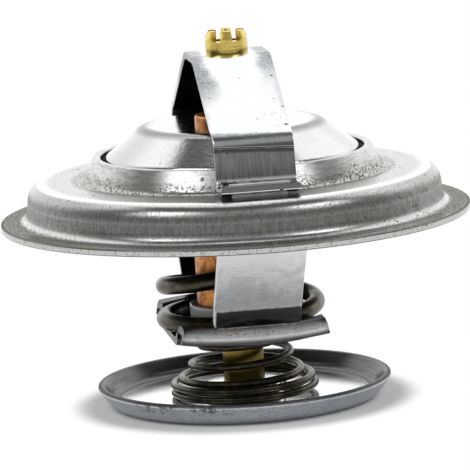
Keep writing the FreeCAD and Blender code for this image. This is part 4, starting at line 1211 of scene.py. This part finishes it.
class THERMOSTAT_OT_bush(bpy.types.Operator):
    """Build the slotted brass bush in the middle of the bridge"""
    bl_idname = "thermostat.bush"
    bl_label = "Adjusting bush"

    def execute(self, context):
        s = sizes("bush")
        low, high = BOX["adjusting_bush"]
        bridge_top = BOX["top_bridge"][1].z
        bridge_under = bridge_top - sizes("bridge").gauge
        slot_floor = high.z - s.slot_depth
        profile = rounded([
            (s.socket_radius, low.z), (high.x, low.z, s.edge), (high.x, bridge_under),
            (s.shank, bridge_under), (s.shank, bridge_top), (s.crown, bridge_top),
            (s.crown, slot_floor), (s.crown, high.z - s.taper_height),
            (s.crown - s.taper, high.z, 2 * s.edge), (s.bore, high.z, s.edge),
            (s.bore, low.z + s.socket), (s.socket_radius, low.z + s.socket),
        ])
        shape = crowned(profile, s.slots, s.slot_width, slot_floor, s.turn)
        piece = add_piece("brass_bush", shape, "frame", "adjusting_bush", "brass", merge=True)
        bevel = piece.modifiers.new("edges", "BEVEL")
        bevel.width = s.edge / 2
        bevel.segments = 2
        bevel.limit_method = "ANGLE"
        bevel.angle_limit = SHARP
        return {"FINISHED"}


class THERMOSTAT_OT_bridge(bpy.types.Operator):
    """Build the bent strap over the valve"""
    bl_idname = "thermostat.bridge"
    bl_label = "Bridge"

    def execute(self, context):
        s = sizes("bridge")
        high = BOX["top_bridge"][1]
        land = BOX["flange"][0].z + sizes("flange").hat_rise
        half = [
            (-high.y, land + s.gauge + s.foot_curl),
            (-s.heel_reach, land + s.gauge - s.heel_sink, s.heel_bend),
            (-s.knee_reach, land + s.knee_rise, s.knee_bend), (-s.flat, high.z, s.top_bend),
        ]
        line = rounded(half + [(-corner[0], *corner[1:]) for corner in reversed(half)], closed=False)
        shape = strip(line, np.full(len(line), high.x), s.gauge, s.edge)
        add_piece("bridge_strap", shape, "frame", "top_bridge", "bridge_steel")
        return {"FINISHED"}


class THERMOSTAT_OT_legs(bpy.types.Operator):
    """Build the two legs, with their shoulders, tongues and staked ends"""
    bl_idname = "thermostat.legs"
    bl_label = "Legs"

    def execute(self, context):
        s = sizes("leg")
        flange = sizes("flange")
        rim = BOX["flange"][0].z
        land_under = rim + flange.hat_rise - flange.gauge
        step = 0.01 * MM
        tongue = s.tongue / 2
        staked = tongue + s.spread
        waist = s.width / 2
        sway = np.linspace(0, 1, CORNER_STEPS)
        corner = waist - s.corner * (1 - np.sqrt(1 - (1 - sway) ** 2))
        for node, sign in (("leg_front", -1), ("leg_rear", 1)):
            low, high = BOX[node]
            reach = max(abs(low.y), abs(high.y))
            ledge = low.z + s.stake + sizes("crossplate").gauge
            levels = [low.z, ledge - s.gauge - step, ledge - s.gauge + step, ledge - step,
                      *(ledge + step + sway * s.corner), rim - s.gauge, rim,
                      land_under - step, land_under + step, high.z - s.stake - step,
                      high.z - s.stake + step, high.z]
            halves = [staked, staked, tongue, tongue, *corner, waist, high.x,
                      high.x, tongue, tongue, staked, staked]
            line = rounded([
                (s.bottom_reach, low.z), (s.bottom_reach, ledge),
                (s.toe_reach, ledge + s.toe_rise, s.bend), (reach, s.bend_level, s.bend),
                (reach, high.z),
            ], closed=False)
            run = np.concatenate([[0], np.cumsum(np.linalg.norm(np.diff(line, axis=0), axis=1))])
            marks = np.interp(levels, line[:, 1], run)
            stations = np.unique(np.concatenate([run, marks]).round(9))
            line = np.stack([np.interp(stations, run, line[:, i]) for i in (0, 1)], -1)
            widths = np.interp(line[:, 1], levels, halves)
            line[:, 0] *= sign
            if sign > 0:
                line, widths = line[::-1], widths[::-1]
            shape = strip(line, widths, s.gauge, s.edge)
            add_piece(f"{node}_sheet", shape, "frame", node, "leg_steel")
        return {"FINISHED"}


def trimmed(profile, left, right, foot, ledge, taper, steps=240):
    """A turned plate cut off by two sloping sides.

    Along the ray at the angle a the plate ends where |r sin a| meets the side, whose distance
    shrinks by the taper from the foot of the lip to the ledge. What lies beyond that end is
    gathered on it, between the plate's under and upper surface there.
    """
    radius, height = profile[:, 0], profile[:, 1]
    outermost = int(np.argmax(radius - height))
    under, upper = profile[:outermost + 1], profile[outermost:][::-1]
    upper = upper[np.argmax(upper[:, 0] > (radius.min() + radius.max()) / 2):]
    slope = taper * np.clip((height - foot) / (ledge - foot), 0, 1)
    special = []
    for side in (left, right):
        ratio = (side - slope) / radius
        turn = np.arcsin(ratio[ratio < 1])
        special.append(turn if side is right else -turn)
    special = np.concatenate(special)
    angles = np.concatenate([np.arange(steps) * 2 * math.pi / steps, special, math.pi - special])
    angles = np.unique((angles % (2 * math.pi)).round(6))
    sine = np.sin(angles)[None]
    side = np.where(sine > 0, right, left) - slope[:, None]
    limit = side / np.maximum(np.abs(sine), 1e-6)
    cut = limit < radius[:, None]
    reach = np.minimum(radius[:, None], limit)
    low = np.interp(reach, under[:, 0], under[:, 1])
    top = np.interp(reach, upper[:, 0], upper[:, 1])
    levels = np.where(cut, np.clip(height[:, None], low, top), height[:, None])
    points = np.stack([reach * sine, -reach * np.cos(angles)[None], levels], -1)
    return points.reshape(-1, 3), grid_faces(*levels.shape).tolist()


class THERMOSTAT_OT_crossplate(bpy.types.Operator):
    """Build the crossplate: sunken floor, raised ledge, down-turned lips and guide collar"""
    bl_idname = "thermostat.crossplate"
    bl_label = "Crossplate"

    def execute(self, context):
        s = sizes("crossplate")
        low, high = BOX["crossplate"]
        floor = low.z + s.gauge
        under_ledge = low.z + s.ledge_rise
        ledge = floor + s.ledge_rise
        foot = ledge - s.lip_drop
        guide_out = s.guide_inside + s.guide_wall
        profile = rounded([
            (s.guide_inside, low.z, s.guide_bend), (s.dish + s.gauge, low.z, s.gauge),
            (s.dish + s.dish_slope + s.gauge, under_ledge, s.edge),
            (high.y - s.gauge, under_ledge, s.lip_bend - s.gauge), (high.y - s.gauge, foot, s.edge),
            (high.y, foot, s.edge), (high.y, ledge, s.lip_bend),
            (s.dish + s.dish_slope, ledge, s.gauge), (s.dish, floor, s.edge),
            (guide_out, floor, s.guide_bend), (guide_out, high.z, s.edge),
            (s.guide_inside, high.z, s.edge),
        ])
        shape = trimmed(profile, -low.x, high.x, foot, ledge, s.lip_taper)
        add_piece("crossplate_sheet", shape, "frame", "crossplate", "leg_steel", merge=True)
        return {"FINISHED"}


class THERMOSTAT_OT_disc(bpy.types.Operator):
    """Build the bypass disc: a shallow pan with a raised middle"""
    bl_idname = "thermostat.disc"
    bl_label = "Bypass disc"

    def execute(self, context):
        s = sizes("disc")
        high = BOX["bypass_disc"][1]
        lean = math.atan((high.x - s.flat) / high.z)
        wall = s.gauge / math.cos(lean)
        hub_top = s.hub_rise + s.gauge
        foot = s.hub_radius + s.hub_slope
        add_turned("bypass_pan", [
            (s.hole, s.hub_rise), (s.hub_radius - s.gauge, s.hub_rise, s.gauge / 2),
            (foot - s.gauge / 2, 0, s.gauge / 2), (s.flat, 0, s.bend), (high.x, high.z, s.edge),
            (high.x - wall, high.z, s.edge),
            (s.flat - wall + s.gauge * math.tan(lean), s.gauge, s.bend - s.gauge),
            (foot, s.gauge, s.gauge / 2), (s.hub_radius, hub_top, s.gauge / 2), (s.hole, hub_top),
        ], "bypass", "bypass_disc", "disc_steel")
        return {"FINISHED"}


def coil_path(turn, reach, height, start):
    """Points (reach cos a, reach sin a, height) with a = start + 2 pi turn."""
    around = start + 2 * math.pi * turn
    return np.stack([reach * np.cos(around), reach * np.sin(around), height], -1)


class THERMOSTAT_OT_springs(bpy.types.Operator):
    """Build the two coil springs"""
    bl_idname = "thermostat.springs"
    bl_label = "Springs"

    def execute(self, context):
        s = sizes("spring")
        turns, ramp = s.main_turns, s.main_ramp
        turn = np.linspace(0, turns, int(turns * COIL_STEPS))

        def opened(part):
            """Turns gathered by an end that opens over the ramp: t * t / (2 ramp), then t - ramp / 2."""
            return np.where(part < ramp, part ** 2 / (2 * ramp), part - ramp / 2)

        gathered = np.where(turn <= turns / 2, opened(turn),
                            2 * opened(np.array(turns / 2)) - opened(turns - turn))
        low = s.main_foot + s.main_wire / 2
        high = s.main_head - s.main_wire / 2
        height = low + (high - low) * gathered / gathered[-1]
        closing = np.clip((turn - s.main_wide) / (s.main_narrowed - s.main_wide), 0, 1)
        reach = s.main_outside - s.main_wire / 2 - s.main_taper * closing
        path = coil_path(turn, reach, height, s.main_start)
        path[:, 0] -= s.main_lean * closing
        shape = wire(path, s.main_wire / 2, MAIN_SIDES)
        main = add_piece("main_coil", shape, "frame", "main_spring", "spring_steel")
        span = s.main_head - s.main_foot
        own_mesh(main)

        turn = np.linspace(0, s.turns, int(s.turns * COIL_STEPS))
        stop = s.turns - s.narrow_turns
        closing = np.clip((turn - s.wide_turns) / (stop - s.wide_turns), 0, 1)
        reach = s.wide - (s.wide - s.narrow) * closing - s.wire / 2
        floor = sizes("disc").gauge + s.wire / 2
        shelf = floor + (s.wire + s.gap) * s.closed
        cup_bottom = BOX["capsule_cup"][0].z
        rise = np.clip((turn - s.closed) / (s.turns - s.closed), 0, 1) ** s.slow
        height = (floor + (s.wire + s.gap) * np.minimum(turn, s.closed)
                  + (cup_bottom - s.wire / 2 - shelf) * rise ** 2 * (3 - 2 * rise))
        shape = wire(coil_path(turn, reach, height, s.start), s.wire / 2, BYPASS_SIDES)
        small = add_piece("bypass_coil", shape, "element", "bypass_spring", "spring_steel")
        span = cup_bottom - sizes("disc").gauge
        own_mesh(small)
        return {"FINISHED"}


class THERMOSTAT_OT_inner_pieces(bpy.types.Operator):
    """Give the boot, the washer and the wax inside the cup their stuff"""
    bl_idname = "thermostat.inner_pieces"
    bl_label = "Inner pieces"

    def execute(self, context):
        for node, slot in (("rubber_boot", "boot_rubber"), ("seal_washer", "seal_plastic"),
                           ("wax_charge", "wax")):
            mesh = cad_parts[node].data
            mesh.materials.clear()
            mesh.materials.append(metal(slot))
        return {"FINISHED"}


def compass(azimuth):
    """The level directions to the camera's right and towards the camera."""
    return (Vector((math.cos(azimuth), math.sin(azimuth), 0)),
            Vector((math.sin(azimuth), -math.cos(azimuth), 0)))


def pale_floor(s):
    """The floor: paper with the object's shadow, and further out plain white."""
    f = Finish("pale_floor")
    x, y, _ = f.split(f.place())
    paper = f.node("ShaderNodeBsdfDiffuse", {}, {"Color": (*s.floor, 1.0)})
    white = f.node("ShaderNodeEmission", {}, {"Color": WHITE, "Strength": 1.0})
    fade = f.step(axis_distance(x, y), *FLOOR_FADE) * f.seen()
    return f.output(f.blend(fade, f.out(paper), f.out(white)))


def tent_skin(s, front):
    """The tent that metal reflects: white behind and above, dark in front, half lit over the camera.

    A place on it is known by its height, from 0 to 1, and by how far it lies ahead, from -1 behind
    the object to 1 on the camera's side.
    """
    f = Finish("tent")
    x, y, height = f.split(f.scaled(f.place(), [MM / s.tent] * 3))
    level_reach = (1 + NEAR_ZERO - height * height).maths("SQRT")
    ahead = (x * front.x + y * front.y) / level_reach
    crown = f.step(height, 0.84, 0.91) * f.step(ahead, -0.84, -0.60)
    dark = f.step(ahead, -0.62, 0.12).most(crown)
    over_camera = f.band(height, 0.47, 0.88, 0.06) * f.step(ahead, 0.35, 0.6)
    tone = f.painted(WHITE, (dark, [s.tent_dark] * 3), (over_camera, [s.tent_front] * 3))
    return f.output(f.out(f.node("ShaderNodeEmission", {}, {"Color": tone, "Strength": s.tent_power})))


def room_light(s):
    """The world: white to look at, and dimmer as light on the object."""
    f = Finish("room", bpy.data.worlds.new("room"))
    white = f.node("ShaderNodeBackground", {}, {"Color": WHITE, "Strength": 1.0})
    room = f.node("ShaderNodeBackground", {}, {"Color": WHITE, "Strength": s.room})
    return f.output(f.blend(f.seen(), f.out(room), f.out(white)), "World")


def add_lamp(name, place, width, depth, power):
    """A soft rectangular lamp that faces the middle of the object."""
    data = bpy.data.lights.new(name, "AREA")
    data.shape = "RECTANGLE"
    data.size = width
    data.size_y = depth
    data.energy = power
    lamp = bpy.data.objects.new(name, data)
    bpy.context.scene.collection.objects.link(lamp)
    lamp.location = place
    lamp.rotation_euler = (LAMP_AIM - place).to_track_quat("-Z", "Y").to_euler()
    return lamp


class THERMOSTAT_OT_stage(bpy.types.Operator):
    """Set the pale floor, the tent that metal reflects, the lamps and the light of the room"""
    bl_idname = "thermostat.stage"
    bl_label = "Stage"

    def execute(self, context):
        s = sizes("stage")
        context.scene.view_settings.view_transform = "Standard"
        across, front = compass(s.azimuth)
        sides = np.array([(-1, -1), (1, -1), (1, 1), (-1, 1)]) * FLOOR_REACH
        corners = np.column_stack([sides, np.full(4, -0.01 * MM)])
        add_mesh("floor", corners, [(0, 1, 2, 3)], pale_floor(s))

        rise = np.radians(np.linspace(90, 0, TENT_RINGS + 1))
        dome = s.tent * np.stack([np.cos(rise), np.sin(rise)], -1)
        points, faces = turned(dome, steps=TENT_STEPS)
        tent = add_mesh("tent", points, faces[:TENT_RINGS * TENT_STEPS], tent_skin(s, front))
        tent.visible_camera = False
        tent.visible_diffuse = False
        tent.visible_shadow = False

        for name, lamp in LAMPS.items():
            turn = math.radians(lamp["turn"])
            heading = across * math.sin(turn) + front * math.cos(turn)
            made = add_lamp(name, heading * lamp["out"] + UP * lamp["up"], lamp["width"],
                            lamp["depth"], lamp["power"])
            made.visible_glossy = name != "lamp_top"
        context.scene.world = room_light(s)
        return {"FINISHED"}


class THERMOSTAT_OT_camera(bpy.types.Operator):
    """Put the camera at the photograph's angle"""
    bl_idname = "thermostat.camera"
    bl_label = "Camera"

    def execute(self, context):
        s = sizes("stage")
        right, front = compass(s.azimuth)
        back = front * math.cos(s.elevation) + UP * math.sin(s.elevation)
        over = back.cross(right)
        side = right * math.cos(s.roll) - over * math.sin(s.roll)
        rise = right * math.sin(s.roll) + over * math.cos(s.roll)
        data = bpy.data.cameras.new("camera")
        data.lens = s.lens
        data.sensor_width = 36.0
        data.clip_start = 0.01
        camera = bpy.data.objects.new("camera", data)
        context.scene.collection.objects.link(camera)
        place = right * s.aim_side + UP * s.aim_up + back * s.distance
        camera.matrix_world = Matrix.Translation(place) @ Matrix((side, rise, back)).transposed().to_4x4()
        context.scene.camera = camera
        return {"FINISHED"}


class THERMOSTAT_PT_panel(bpy.types.Panel):
    """Lists the steps that build the looks"""
    bl_idname = "THERMOSTAT_PT_panel"
    bl_label = "Engine Thermostat"
    bl_space_type = "VIEW_3D"
    bl_region_type = "UI"
    bl_category = "Thermostat"

    def draw(self, context):
        for step in STEPS:
            self.layout.operator(step.bl_idname)


STEPS = (THERMOSTAT_OT_camera, THERMOSTAT_OT_stage, THERMOSTAT_OT_flange, THERMOSTAT_OT_valve,
         THERMOSTAT_OT_capsule, THERMOSTAT_OT_bush, THERMOSTAT_OT_bridge, THERMOSTAT_OT_legs,
         THERMOSTAT_OT_crossplate, THERMOSTAT_OT_disc, THERMOSTAT_OT_springs,
         THERMOSTAT_OT_inner_pieces)
CLASSES = (*GROUPS.values(), *STEPS, THERMOSTAT_PT_panel)


def register():
    for cls in CLASSES:
        bpy.utils.register_class(cls)
    for name, group in GROUPS.items():
        setattr(bpy.types.Scene, f"thermostat_{name}", bpy.props.PointerProperty(type=group))


def unregister():
    for name in GROUPS:
        delattr(bpy.types.Scene, f"thermostat_{name}")
    for cls in reversed(CLASSES):
        bpy.utils.unregister_class(cls)


def main():
    register()
    bpy.ops.thermostat.camera()
    bpy.ops.thermostat.stage()
    bpy.ops.thermostat.flange()
    bpy.ops.thermostat.valve()
    bpy.ops.thermostat.capsule()
    bpy.ops.thermostat.bush()
    bpy.ops.thermostat.bridge()
    bpy.ops.thermostat.legs()
    bpy.ops.thermostat.crossplate()
    bpy.ops.thermostat.disc()
    bpy.ops.thermostat.springs()
    bpy.ops.thermostat.inner_pieces()
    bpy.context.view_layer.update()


if __name__ == "__main__":
    main()
